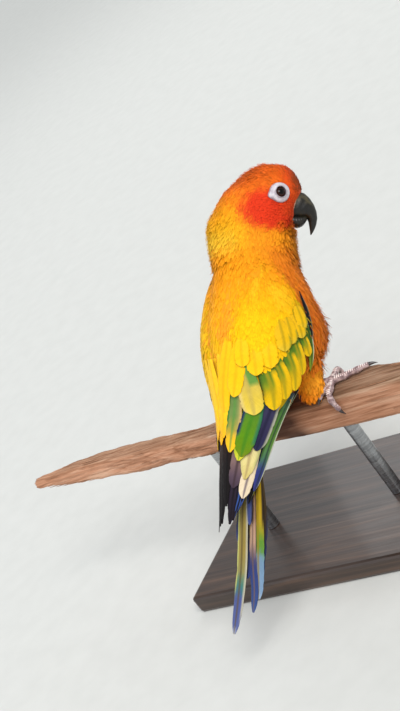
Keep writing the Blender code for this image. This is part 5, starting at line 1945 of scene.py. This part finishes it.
@dataclass
class Head(Maker):
    """Bill, cere, eyes and the bare skin round them."""

    skin: Skin
    bill_rows: int = 64
    bill_sides: int = 48
    ring_length: float = 6.1
    ring_height: float = 5.5
    ring_sides: int = 72
    opening: float = 3.05
    lid_radius: float = 0.17
    lid_rise: float = 0.62
    wrinkle: float = 0.035
    wrinkle_seed: int = 3

    # Share out from the opening to the rim, and height over the plumage's base
    ring_profile = ((-0.03, -1.6), (-0.02, -0.4), (0.0, 0.75), (0.06, 1.12), (0.16, 1.0), (0.3, 0.72),
                    (0.5, 0.62), (0.68, 0.55), (0.82, 0.3), (0.93, -0.1), (1.0, -0.7), (0.8, -1.5), (0.3, -1.8))

    def bill_rings(self, sections: tuple, swell: float = 0.0) -> Array:
        """Shape a bill half through rounded sections in the head's middle plane.

        Args:
            sections: Outer point, inner point and half width of each section.
            swell: Extra size, in millimetres.

        Returns:
            The rings in the head's own axes.
        """
        keys = np.linspace(0.0, 1.0, len(sections))
        at = np.linspace(0.0, 1.0, self.bill_rows)
        x, z, inner_x, inner_z, half = (Curve(list(zip(keys, values)))(at) for values in zip(*sections))
        outer = np.stack([x, 0.0 * at, z], axis=1)
        inner = np.stack([inner_x, 0.0 * at, inner_z], axis=1)
        angle = np.arange(self.bill_sides) / self.bill_sides * math.tau
        across = np.sign(np.sin(angle)) * np.abs(np.sin(angle)) ** 0.8
        reach = (outer - inner) / 2
        longer = 1.0 + swell / np.maximum(np.linalg.norm(reach, axis=1, keepdims=True), 0.3)
        rings = ((outer + inner) / 2)[:, None] + (reach * longer)[:, None] * np.cos(angle)[None, :, None]
        rings[..., 1] += (half[:, None] + swell) * across[None, :]
        return rings

    def bill(self, half: BillHalf) -> Object:
        """Make one half of the bill."""
        rings = self.bill_rings(UPPER_BILL if half is BillHalf.UPPER else LOWER_BILL)
        rows = np.linspace(0.0, 1.0, len(rings))
        # Growth rims across the horn
        rim = 0.05 * np.sin(rows * 60.0) * (rows < 0.75)
        rings = rings + unit(rings - rings.mean(axis=1, keepdims=True)) * rim[:, None, None]
        item = add_bmesh(f"bill_{half.value}_horn", loft_bmesh(rings), self.finishes.bill,
                         lambda p: bird_frame.bird(head_turned(p)))
        # Painted highlight: the horn grows lighter towards the top of the bill
        light = smoothstep(232.0, 243.0, rings[..., 2].ravel()) * 0.28 + 0.36
        return set_values(item, "tone", np.concatenate([light, light[:1], light[-1:]]))

    def cere(self) -> Object:
        """Make the narrow band of skin at the bill's base."""
        outer, inner = (self.bill_rings(UPPER_BILL, swell)[6:11] for swell in (0.2, -0.6))
        swell = np.sin(np.linspace(0.0, math.pi, len(outer))) * 0.25
        outer = outer + unit(outer - outer.mean(axis=1, keepdims=True)) * swell[:, None, None]
        rings = head_turned(np.concatenate([outer, inner[::-1]]))
        return add_bmesh("cere", loft_bmesh(rings, closed=True), self.finishes.cere, bird_frame.bird)

    def eye_place(self, sign: float) -> tuple[Array, Array]:
        """Give an eye's point on the head's surface and the way it looks, in the bird frame.

        Args:
            sign: 1 on the bird's left and -1 on its right.

        Returns:
            The point and the unit direction.
        """
        x = (EYE_CENTRE[0] - body_loft.centre(EYE_CENTRE[2])) / body_loft.depth(EYE_CENTRE[2]) ** 2
        y = EYE_CENTRE[1] / body_loft.width(EYE_CENTRE[2]) ** 2
        flat = unit(np.array([float(x), sign * float(y), 0.0]))
        axis = unit(head_turned(np.array([flat[0], flat[1], 0.12])))
        return head_turned(np.array(EYE_CENTRE) * (1.0, sign, 1.0)), axis

    def eye(self, side: str, sign: float) -> Object:
        """Make one eye.

        Args:
            side: "left" or "right".
            sign: 1 on the bird's left and -1 on its right.

        Returns:
            The piece.
        """
        surface, axis = self.eye_place(sign)
        middle = Vector(surface - axis * EYE_DEPTH)
        turn = Vector(axis).to_track_quat("Z", "Y").to_matrix().to_4x4()
        bm = bmesh.new()
        bmesh.ops.create_uvsphere(bm, u_segments=48, v_segments=36, radius=EYE_RADIUS)
        radial = []
        for vert in bm.verts:
            out, ahead = vert.co.xy.length, vert.co.z > 0
            radial.append(min(1.0, out / IRIS_RADIUS) if ahead else 1.0)
            # The cornea stands out a little over the iris
            if ahead:
                vert.co.z += CORNEA_RISE * max(0.0, 1.0 - out / CORNEA_RADIUS) ** 0.8
            vert.co = turn @ vert.co + middle
        item = add_bmesh(f"eye_globe_{side}", bm, self.finishes.eye, bird_frame.bird)
        return set_values(item, "radial", np.array(radial))

    def ring(self, side: str, sign: float) -> list[Object]:
        """Make the bare skin round one eye, and its lid.

        Args:
            side: "left" or "right".
            sign: 1 on the bird's left and -1 on its right.

        Returns:
            The pieces.
        """
        surface, axis = self.eye_place(sign)
        ahead = head_turned(np.array([1.0, 0.0, 0.0]))
        forward = unit(ahead - axis * (ahead @ axis))
        upward = np.cross(axis, forward)
        upward = upward * np.sign(upward[2])
        angle = np.arange(self.ring_sides) / self.ring_sides * math.tau

        def around(radius: Array) -> Array:
            """Give the points round the eye at a distance from its middle."""
            ahead, above = radius * np.cos(angle), radius * np.sin(angle)
            return surface + forward * ahead[:, None] + upward * above[:, None]

        off_rear = angle - math.pi * 1.12
        rear = np.exp(-((np.arctan2(np.sin(off_rear), np.cos(off_rear)) / 0.32) ** 2))
        outer = self.ring_length * np.cos(angle) ** 2 + self.ring_height * np.sin(angle) ** 2 + 1.3 * rear
        rings = []
        rng = np.random.default_rng(self.wrinkle_seed)
        for share, height in self.ring_profile:
            flat = around(self.opening + (outer - self.opening) * share)
            # Near the lid the skin follows the eyeball instead of the head
            near = float(smoothstep(0.35, 0.05, share))
            spot = self._onto_head(flat, axis) * (1.0 - near) + flat * near
            wrinkle = rng.normal(0.0, self.wrinkle, self.ring_sides) * (0.1 < share < 0.9)
            rings.append(spot + axis * (height + wrinkle)[:, None])
        skin = loft_bmesh(np.array(rings), closed=True)
        item = add_bmesh(f"eye_ring_{side}", skin, self.finishes.ring, bird_frame.bird)
        tone = [0.58 if 0.2 < share < 0.9 else 0.4 for share, _ in self.ring_profile]
        set_values(item, "tone", np.repeat(tone, self.ring_sides))
        edge = around(self.opening * 0.97) + axis * self.lid_rise
        lid = loft_bmesh(tube_rings(edge, self.lid_radius, 10, axis, closed=True), closed=True)
        return [item, add_bmesh(f"eye_lid_{side}", lid, self.finishes.lid, bird_frame.bird)]

    def _onto_head(self, points: Array, axis: Array) -> Array:
        """Move points along the eye's axis to the base of the plumage."""
        moved = []
        for point in points:
            hit, _, _, _ = self.skin.tree.ray_cast(Vector(point + axis * 12.0), Vector(-axis), 30.0)
            spot = np.array(hit) if hit is not None else self.skin.settle(point[None])[0][0]
            moved.append(spot + axis * COAT_DEPTH)
        return np.array(moved)

    def nostril(self, side: str, sign: float) -> Object:
        """Make one nostril: a small dark ball in the lid's finish, whose darkness is painted shade for its
        hollow.
        """
        centre = np.array(NOSTRIL_CENTRE) * (1.0, sign, 1.0)
        bm = bmesh.new()
        bmesh.ops.create_uvsphere(bm, u_segments=20, v_segments=12, radius=NOSTRIL_RADIUS)
        for vert in bm.verts:
            vert.co = Vector(head_turned(np.array(vert.co) * (1.0, 0.8, 0.8) + centre))
        return add_bmesh(f"nostril_{side}", bm, self.finishes.lid, bird_frame.bird)


# Repeats made by Geometry Nodes


def plate_tree(name: str) -> NodeTree:
    """Make the tree that lays small rounded plates along paths.

    Each path point carries "up", the way a plate faces, and "size", its scale. The plates are laid at an even
    spacing along the path, each turned to follow it.

    Args:
        name: The tree's name.

    Returns:
        The tree, with inputs Spacing, Length, Width, Height and Finish.
    """
    tree = bpy.data.node_groups.new(name, "GeometryNodeTree")
    face = tree.interface
    face.new_socket("Geometry", in_out="INPUT", socket_type="NodeSocketGeometry")
    for label, value in (("Spacing", 1.0), ("Length", 1.0), ("Width", 1.0), ("Height", 0.3)):
        face.new_socket(label, in_out="INPUT", socket_type="NodeSocketFloat").default_value = value
    face.new_socket("Finish", in_out="INPUT", socket_type="NodeSocketMaterial")
    face.new_socket("Geometry", in_out="OUTPUT", socket_type="NodeSocketGeometry")
    source = tree.nodes.new("NodeGroupInput").outputs
    curve = add_node(tree, "GeometryNodeMeshToCurve", {"Mesh": source["Geometry"]})
    inputs = {"Curve": curve.outputs[0], "Length": source["Spacing"]}
    even = add_node(tree, "GeometryNodeResampleCurve", inputs, mode="LENGTH")
    ball = add_node(tree, "GeometryNodeMeshUVSphere", {"Segments": 10, "Rings": 6, "Radius": 0.5})
    inputs = {"X": source["Length"], "Y": source["Width"], "Z": source["Height"]}
    size = add_node(tree, "ShaderNodeCombineXYZ", inputs)
    inputs = {"Geometry": ball.outputs["Mesh"], "Scale": size.outputs[0]}
    plate = add_node(tree, "GeometryNodeTransform", inputs)
    along = add_node(tree, "GeometryNodeInputTangent")
    up = add_node(tree, "GeometryNodeInputNamedAttribute", {"Name": "up"}, data_type="FLOAT_VECTOR")
    scale = add_node(tree, "GeometryNodeInputNamedAttribute", {"Name": "size"}, data_type="FLOAT")
    turn = add_node(
        tree, "FunctionNodeAxesToRotation", {0: up.outputs["Attribute"], 1: along.outputs[0]}, primary_axis="Z",
        secondary_axis="X",
    )
    laid = add_node(
        tree, "GeometryNodeInstanceOnPoints",
        {"Points": even.outputs[0], "Instance": plate.outputs[0], "Rotation": turn.outputs[0],
         "Scale": scale.outputs["Attribute"]},
    )
    real = add_node(tree, "GeometryNodeRealizeInstances", {0: laid.outputs[0]})
    smoothed = add_node(tree, "GeometryNodeSetShadeSmooth", {0: real.outputs[0]})
    inputs = {"Geometry": smoothed.outputs[0], "Material": source["Finish"]}
    finish = add_node(tree, "GeometryNodeSetMaterial", inputs)
    add_node(tree, "NodeGroupOutput", {0: finish.outputs[0]})
    return tree


def lay_plates(
    name: str, tree: NodeTree, paths: Sequence[tuple[Array, Array, Array]], sizes: dict, material: Material
) -> Object:
    """Lay plates along paths and make the result a plain mesh.

    Args:
        name: The piece's name.
        tree: The tree from plate_tree.
        paths: World points, directions that plates face, and scales, for each path.
        sizes: The tree's numbers by input name, in metres.
        material: The plates' finish.

    Returns:
        The piece.
    """
    points, ups, scales = (np.concatenate([path[k] for path in paths]) for k in range(3))
    edges, start = [], 0
    for path, _, _ in paths:
        edges += [(start + i, start + i + 1) for i in range(len(path) - 1)]
        start += len(path)
    mesh = bpy.data.meshes.new(name)
    mesh.from_pydata(points.tolist(), edges, [])
    facing = mesh.attributes.new("up", "FLOAT_VECTOR", "POINT")
    facing.data.foreach_set("vector", ups.astype(np.float32).ravel())
    item = set_values(linked(mesh), "size", scales)
    modifier = item.modifiers.new("plates", "NODES")
    modifier.node_group = tree
    inputs = {**sizes, "Finish": material}
    for socket in tree.interface.items_tree:
        if socket.in_out == "INPUT" and socket.name in inputs:
            modifier[socket.identifier] = inputs[socket.name]
    apply_modifiers(item, material)
    return item


# Feet


SHANK_TOP = (24.8, 14.4, 137.0)
FOOT_HEIGHT = 3.3
PERCH_HALF_WIDTH = 12.0
PERCH_CHAMFER = 2.5
TOE_LIFT = 2.5
CLAW_LENGTH = 6.5
CLAW_BEND = 32.0


@dataclass(frozen=True)
class Toe:
    """One toe: where it heads over the timber and how long it is."""

    number: int
    heading: float
    length: float
    claw: float = 0.75       # worn length of its claw, as a share of a full one


TOES = (Toe(1, -158.0, 14.0, 0.5), Toe(2, -8.0, 18.0), Toe(3, 74.0, 24.0), Toe(4, 170.0, 23.0))


@dataclass
class Foot(Maker):
    """A scaled foot that grips the timber, with its four claws."""

    side: str
    outward: float
    shank_radius: float = 2.2
    ball_radius: float = 2.75
    toe_radius: float = 2.15
    toe_taper: float = 0.65
    toe_rows: int = 44
    voxel: float = 0.32
    smoothing: int = 4
    claw_radius: float = 1.2
    claw_steps: int = 24

    @property
    def foot_x(self) -> float:
        """Give the foot's place along the timber."""
        return self.outward * FOOT_SPACING / 2

    @staticmethod
    def over_timber(run: float, lift: float) -> tuple[float, float]:
        """Give distance out and height of a point that follows the timber's top, edge and side.

        Args:
            run: Distance along the timber's surface from its middle.
            lift: Distance above the surface.

        Returns:
            Distance out and height.
        """
        flat = PERCH_HALF_WIDTH - PERCH_CHAMFER
        bend = PERCH_CHAMFER + lift
        arc = bend * math.pi / 2
        if run < flat:
            return run, lift
        if run < flat + arc:
            angle = (run - flat) / bend
            return flat + bend * math.sin(angle), -PERCH_CHAMFER + bend * math.cos(angle)
        return PERCH_HALF_WIDTH + lift, -PERCH_CHAMFER - (run - flat - arc)

    def toe_point(self, toe: Toe, run: float, extra: float = 0.0) -> Array:
        """Give a point on a toe's middle line in the perch frame."""
        heading = math.radians(toe.heading)
        ahead, aside = math.cos(heading), math.sin(heading)
        out, height = self.over_timber(abs(run * ahead), TOE_LIFT + extra)
        raised = max(0.0, 1.0 - run / 6.0) * (FOOT_HEIGHT - TOE_LIFT)
        return np.array([self.foot_x + self.outward * run * aside, -math.copysign(out, ahead), height + raised])

    def toe_path(self, toe: Toe, rows: int, extra: float = 0.0) -> Array:
        """Give the points along a toe."""
        return np.array([self.toe_point(toe, run, extra) for run in np.linspace(0.2, toe.length, rows)])

    def skin(self) -> Object:
        """Make the shank, the ball and the toes as one skin.

        Returns:
            The piece.
        """
        top = bird_frame.bird_to_perch(np.array(SHANK_TOP) * (1.0, self.outward, 1.0))
        ankle = np.array([self.foot_x, 0.0, FOOT_HEIGHT])
        shank = top + (ankle - top) * np.linspace(0.0, 1.0, 20)[:, None]
        bm = loft_bmesh(tube_rings(shank, self.shank_radius, 20, np.array([0.3, 1.0, 0.2])))
        ball = bmesh.ops.create_uvsphere(bm, u_segments=24, v_segments=16, radius=self.ball_radius)
        bmesh.ops.translate(bm, verts=ball["verts"], vec=Vector(ankle))
        for toe in TOES:
            path = self.toe_path(toe, self.toe_rows)
            share = np.linspace(0.0, 1.0, len(path))
            # Pads swell between the joints
            joints = 3 if toe.length > 16 else 2
            radii = self.toe_radius - self.toe_taper * share + 0.22 * np.cos(share * joints * math.tau)
            radii[-3:] *= (0.92, 0.78, 0.5)
            up = (0.02, 0.03, 1.0) if toe.number == 3 else (1.0, 0.1, 0.05)
            loft_bmesh(tube_rings(path, radii, 20, np.array(up)), bm)
        item = add_bmesh(f"foot_skin_{self.side}", bm, self.finishes.foot, bird_frame.perch)
        join_forms(item, self.voxel * MM, self.smoothing, self.finishes.foot)
        item.data.shade_smooth()
        return set_values(item, "tone", 0.26)

    def scutes(self, tree: NodeTree) -> Object:
        """Make the rows of plates over the toes."""
        paths = []
        for toe in TOES:
            path = self.toe_path(toe, 40)
            up = unit(self.toe_path(toe, 40, 1.0) - path)
            radii = self.toe_radius - self.toe_taper * np.linspace(0.0, 1.0, len(path))
            line = bird_frame.perch((path + up * (radii * 0.8)[:, None])[4:-2])
            paths.append((line, up[4:-2], radii[4:-2] / self.toe_radius))
        sizes = {"Spacing": 1.25 * MM, "Length": 0.9 * MM, "Width": 3.7 * MM, "Height": 0.95 * MM}
        item = lay_plates(f"scutes_{self.side}", tree, paths, sizes, self.finishes.foot)
        return set_values(item, "tone", 0.74)

    def claw(self, toe: Toe) -> Object:
        """Make one hooked claw.

        Args:
            toe: The toe that carries it.

        Returns:
            The piece.
        """
        path = self.toe_path(toe, self.toe_rows)
        direction = unit(path[-1] - path[-2])
        towards = unit(self.toe_point(toe, toe.length + 8.0) - path[-1])
        if abs(towards @ direction) > 0.98:
            inward = np.array([0.0, -math.copysign(1.0, path[-1][1]), 0.0])
            towards = np.array([0.0, 0.0, -1.0]) if path[-1][2] > 0 else inward
        hinge = Vector(unit(np.cross(direction, towards)))
        at = Vector(path[-1] - direction * 1.0)
        line, radii = [np.array(at)], [self.claw_radius]
        reach = CLAW_LENGTH * toe.claw + 0.8
        for k in range(1, self.claw_steps + 1):
            bend = Matrix.Rotation(math.radians(CLAW_BEND * (k - 0.5) / self.claw_steps), 3, hinge)
            at = at + (bend @ Vector(direction)) * reach / self.claw_steps
            line.append(np.array(at))
            radii.append(self.claw_radius * (1.0 - 0.93 * (k / self.claw_steps) ** 1.3))
        horn = loft_bmesh(tube_rings(np.array(line), np.array(radii), 18, np.array(hinge)))
        return add_bmesh(f"claw_horn_{self.side}_{toe.number}", horn, self.finishes.claw, bird_frame.perch)


# Timber and stand


@dataclass(frozen=True)
class Section:
    """One cross-section of the timber: its faces in the perch frame."""

    x: float
    front: float
    back: float
    top: float
    bottom: float


TIMBER = (
    Section(-76.0, -2.0, 12.5, 0.0, -24.0),
    Section(-56.0, -6.5, 12.2, 0.0, -24.0),
    Section(-44.0, -10.0, 12.0, 0.0, -23.8),
    Section(-32.0, -12.0, 12.0, 0.0, -23.2),
    Section(0.0, -12.0, 12.0, 0.0, -21.6),
    Section(32.0, -12.0, 12.0, 0.0, -19.2),
    Section(50.0, -10.0, 12.4, 0.0, -17.0),
    Section(64.0, -5.0, 12.6, -1.2, -15.2),
    Section(80.0, -3.4, 12.0, -2.0, -15.2),
    Section(98.0, -4.5, 9.6, -2.0, -15.6),
    Section(125.0, -7.0, 6.6, -2.0, -16.2),
    Section(150.0, -9.5, 3.8, -2.0, -16.8),
    Section(172.0, -10.6, 2.0, -2.0, -16.6),
    Section(194.0, -10.0, 1.4, -2.2, -15.0),
    Section(214.0, -8.0, 1.6, -2.6, -12.6),
    Section(232.0, -4.6, 2.4, -3.4, -9.4),
)


# Where the painted shadow of the bird lies along the timber, and how far it reaches
PAINTED_SHADOW_MIDDLE = 20.0
PAINTED_SHADOW_REACH = 13.0


@dataclass
class Perch(Maker):
    """The cut length of rough timber."""

    step: float = 1.1
    around: int = 84
    even_reach: float = 48.0     # the top stays even this far out from between the feet
    splinter_count: int = 120
    splinter_span: tuple = (-74.0, 226.0)
    splinter_clear: float = 46.0
    end_seed: int = 2
    splinter_seed: int = 8

    def section_ring(self, x: float) -> Array:
        """Give the timber's outline at one place, evenly spaced round it.

        Args:
            x: Place along the timber.

        Returns:
            Pairs of y and z.
        """
        keys = [s.x for s in TIMBER]
        front, back, top, bottom = (
            float(np.interp(x, keys, [getattr(s, name) for s in TIMBER]))
            for name in ("front", "back", "top", "bottom")
        )
        c = PERCH_CHAMFER
        corners = np.array([
            (back - c, top), (back - 0.7, top - 0.7), (back, top - c), (back, bottom + c), (back - c, bottom),
            (front + c, bottom), (front, bottom + c), (front, top - c), (front + 0.7, top - 0.7),
            (front + c, top),
        ])
        closed = np.concatenate([corners, corners[:1]])
        run = np.concatenate([[0.0], np.cumsum(np.linalg.norm(np.diff(closed, axis=0), axis=1))])
        at = np.linspace(0.0, run[-1], self.around, endpoint=False)
        return np.stack([np.interp(at, run, closed[:, 0]), np.interp(at, run, closed[:, 1])], axis=1)

    def build(self) -> Object:
        """Make the timber, torn and fibrous, with a ragged end.

        Returns:
            The piece.
        """
        places = np.arange(TIMBER[0].x, TIMBER[-1].x + 0.01, self.step)
        rings = np.array([np.column_stack([np.full(self.around, x), self.section_ring(x)]) for x in places])
        out = unit((rings - rings.mean(axis=1, keepdims=True)) * (0.0, 1.0, 1.0))
        weather, bark = np.zeros((2, *rings.shape[:2]))
        for i, x in enumerate(places):
            rough = 0.45 + 0.9 * float(smoothstep(58.0, 80.0, abs(x)))
            for k in range(self.around):
                _, y, z = rings[i, k]
                fibre = noise.fractal(Vector((x / 26.0, y / 1.3, z / 1.3)), 0.8, 2.2, 4)
                lump = noise.noise(Vector((x / 14.0, y / 7.0, z / 7.0)))
                # Near the feet the face stays even
                near = 0.35 if abs(x) < self.even_reach and z > -3.0 else 1.0
                push = (0.42 * fibre + 0.5 * lump * rough) * rough * near
                rings[i, k] += out[i, k] * min(push - 0.15, 0.25 if near < 1.0 else 0.9)
                weather[i, k] = float(smoothstep(-4.2, -0.6, z)) * 0.85 + 0.12 * lump
                # Painted shadow of the bird: a dark patch on the timber under its body, broken up by the lumps
                left = math.exp(-(((x - PAINTED_SHADOW_MIDDLE) / PAINTED_SHADOW_REACH) ** 2))
                bark[i, k] = np.clip(left * (1.1 + 0.9 * lump) - 0.12, 0, 0.85)
        # Broken fibres stick out of both ends by different lengths
        rng = np.random.default_rng(self.end_seed)
        for rows, sign in (((0, 1, 2), -1.0), ((-1, -2, -3), 1.0)):
            shift = rng.uniform(-1.4, 0.4, self.around)
            for back, row in enumerate(rows):
                rings[row, :, 0] += sign * shift * (1.0 - back / 3.0)
        item = add_bmesh("rough_timber", loft_bmesh(rings), self.finishes.timber, bird_frame.perch)
        set_values(item, "weather", np.concatenate([weather.ravel(), [0.2, 0.2]]))
        return set_values(item, "bark", np.concatenate([bark.ravel(), [0.0, 0.0]]))

    def splinters(self, tree: NodeTree) -> Object:
        """Make torn fibres that lift along the timber's edges and break."""
        rng = np.random.default_rng(self.splinter_seed)
        share = np.linspace(0.0, 1.0, 4)[:, None]
        paths = []
        for _ in range(self.splinter_count):
            x = rng.uniform(*self.splinter_span)
            if abs(x) < self.splinter_clear:
                continue
            ring = self.section_ring(x)
            y, z = ring[rng.integers(self.around)]
            middle = ring.mean(axis=0)
            out = unit(np.array([0.0, y - middle[0], z - middle[1]]))
            length = rng.uniform(4.0, 13.0)
            line = np.array([x, y, z]) + share * (length, 0.0, 0.0)
            if line[-1, 0] > TIMBER[-1].x:
                continue
            ahead = self.section_ring(float(line[-1, 0]))
            end = ahead[np.argmin(np.linalg.norm(ahead - (y, z), axis=1))]
            line[:, 1:] += (end - (y, z)) * share
            up = np.repeat(out[None], len(line), axis=0)
            paths.append((bird_frame.perch(line + up * 0.05), up, np.full(len(line), rng.uniform(0.6, 1.5))))
        sizes = {"Spacing": 5.0 * MM, "Length": 7.0 * MM, "Width": 0.5 * MM, "Height": 0.3 * MM}
        item = lay_plates("timber_fibres", tree, paths, sizes, self.finishes.timber)
        return set_values(item, "weather", 0.4)


# Studio


@dataclass
class Studio(Maker):
    """A plain pale floor, soft light and the camera."""

    lens: float = 80.54
    camera_at: tuple = (-525.0, 626.1, 374.6)
    towards_camera: tuple = (-0.6289, 0.688, 0.362)
    roll: float = -37.44
    sensor: float = 36.0
    aim: tuple = (-0.08, -0.02, 0.17)

    def floor(self) -> Object:
        """Make the wide, flat floor."""
        bm = bmesh.new()
        bmesh.ops.create_grid(bm, x_segments=2, y_segments=2, size=20.0)
        mesh = bpy.data.meshes.new("floor")
        bm.to_mesh(mesh)
        bm.free()
        return finished(mesh, self.finishes.floor)

    def camera(self) -> None:
        """Set the camera where the photograph was taken from."""
        data = bpy.data.cameras.new("camera")
        item = linked(data)
        data.sensor_fit = "AUTO"
        data.sensor_width = self.sensor
        data.lens = self.lens
        data.clip_start = 0.05
        data.clip_end = 50.0
        back = unit(np.array(self.towards_camera))
        right = unit(np.cross(-back, (0.0, 0.0, 1.0)))
        up = np.cross(right, -back)
        t = math.radians(self.roll)
        turned_right = right * math.cos(t) + up * math.sin(t)
        turned_up = np.cross(back, turned_right)
        spin = Matrix([turned_right, turned_up, back]).transposed().to_4x4()
        item.matrix_world = Matrix.Translation(Vector(bird_frame.perch(self.camera_at))) @ spin
        bpy.context.scene.camera = item

    def light(self, name: str, at: tuple, size: float, power: float, colour: str) -> None:
        """Set one soft area light that points at the bird.

        Args:
            name: Its name.
            at: Where it stands, in metres.
            size: Its side.
            power: Its power in watts.
            colour: Its colour.
        """
        data = bpy.data.lights.new(name, "AREA")
        data.size = size
        data.energy = power
        data.color = rgba(colour)[:3]
        item = linked(data)
        item.location = at
        item.rotation_euler = (Vector(self.aim) - Vector(at)).to_track_quat("-Z", "Y").to_euler()

    def build(self) -> Object:
        """Set up the floor, lights, world and camera.

        Returns:
            The floor.
        """
        scene = bpy.context.scene
        scene.world = bpy.data.worlds.new("studio")
        scene.world.use_nodes = True
        wire(scene.world.node_tree.nodes["Background"], {"Color": rgba("E8ECF0"), "Strength": 0.62})
        scene.view_settings.view_transform = "Standard"
        self.light("key", (-1.3, 0.5, 1.6), 0.9, 7.0, "FFF6EA")
        sun = bpy.data.lights.new("sky_panel", "SUN")
        sun.energy = 1.9
        sun.angle = 0.6
        linked(sun).rotation_euler = Vector((-0.7, 0.55, 1.0)).to_track_quat("Z", "Y").to_euler()
        self.light("fill", (0.9, 1.2, 0.9), 1.6, 10.0, "F4F4FA")
        self.light("back", (0.6, -1.4, 1.3), 1.0, 6.0, "FFFFFF")
        self.camera()
        return self.floor()


def ride(item: Object, slot: str, *nodes: str) -> None:
    """Fix a piece to the model and hide the solids that it stands for.

    Args:
        item: The piece.
        slot: The record's material slot; not used.
        *nodes: The solids that it replaces.
    """
    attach(item, "root")
    if nodes:
        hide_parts(*nodes)
    log.info("%s: %d faces", item.name, len(item.data.polygons))


def dress_solid(node: str, material: Material) -> None:
    """Give a solid that stays its finish."""
    item = bpy.data.objects[node]
    if not item.material_slots:
        item.data.materials.append(material)
    for slot in item.material_slots:
        slot.material = material
    log.info("%s keeps its solid", node)


def main() -> None:
    """Build the conure, its timber and its stand, and light them."""
    logging.basicConfig(level=logging.INFO, format="%(message)s")
    finishes = Finishes()
    Studio(finishes).build()

    skin = Skin()
    ride(skin.dress(finishes.coat), "breast_plumage", "torso", "neck", "head", "thigh_left", "thigh_right")
    slots = {
        "face": "face_plumage", "crown": "face_plumage", "nape": "nape_plumage", "neck": "nape_plumage",
        "wing": "wing_plumage",
    }
    for item in Coat(finishes, skin).build():
        ride(item, slots.get(item.name.split("_")[1], "breast_plumage"))
    wings = Wings()
    for side, seed in (("right", 21), ("left", 22)):
        ride(wings.build(side, finishes.flight, seed), "wing_plumage", f"wing_{side}")
    ride(build_tail(finishes.flight), "tail_plumage", "tail")

    head = Head(finishes, skin)
    for half in BillHalf:
        ride(head.bill(half), "bill_horn", f"bill_{half.value}")
    ride(head.cere(), "bill_horn")
    plates = plate_tree("plates_along_paths")
    for side, sign in (("left", 1.0), ("right", -1.0)):
        ride(head.eye(side, sign), "eye_glass", f"eye_{side}")
        for item in head.ring(side, sign):
            ride(item, "face_plumage")
        ride(head.nostril(side, sign), "bill_horn")
        foot = Foot(finishes, side, sign)
        ride(foot.skin(), "foot_skin", f"foot_{side}")
        ride(foot.scutes(plates), "foot_skin")
        for toe in TOES:
            ride(foot.claw(toe), "claw_horn", f"claw_{side}_{toe.number}")

    perch = Perch(finishes)
    ride(perch.build(), "timber", "perch")
    ride(perch.splinters(plates), "timber")
    dress_solid("stand_base", finishes.base)
    for number in (1, 2):
        dress_solid(f"stand_rod_{number}", finishes.rod)


if __name__ == "__main__":
    main()
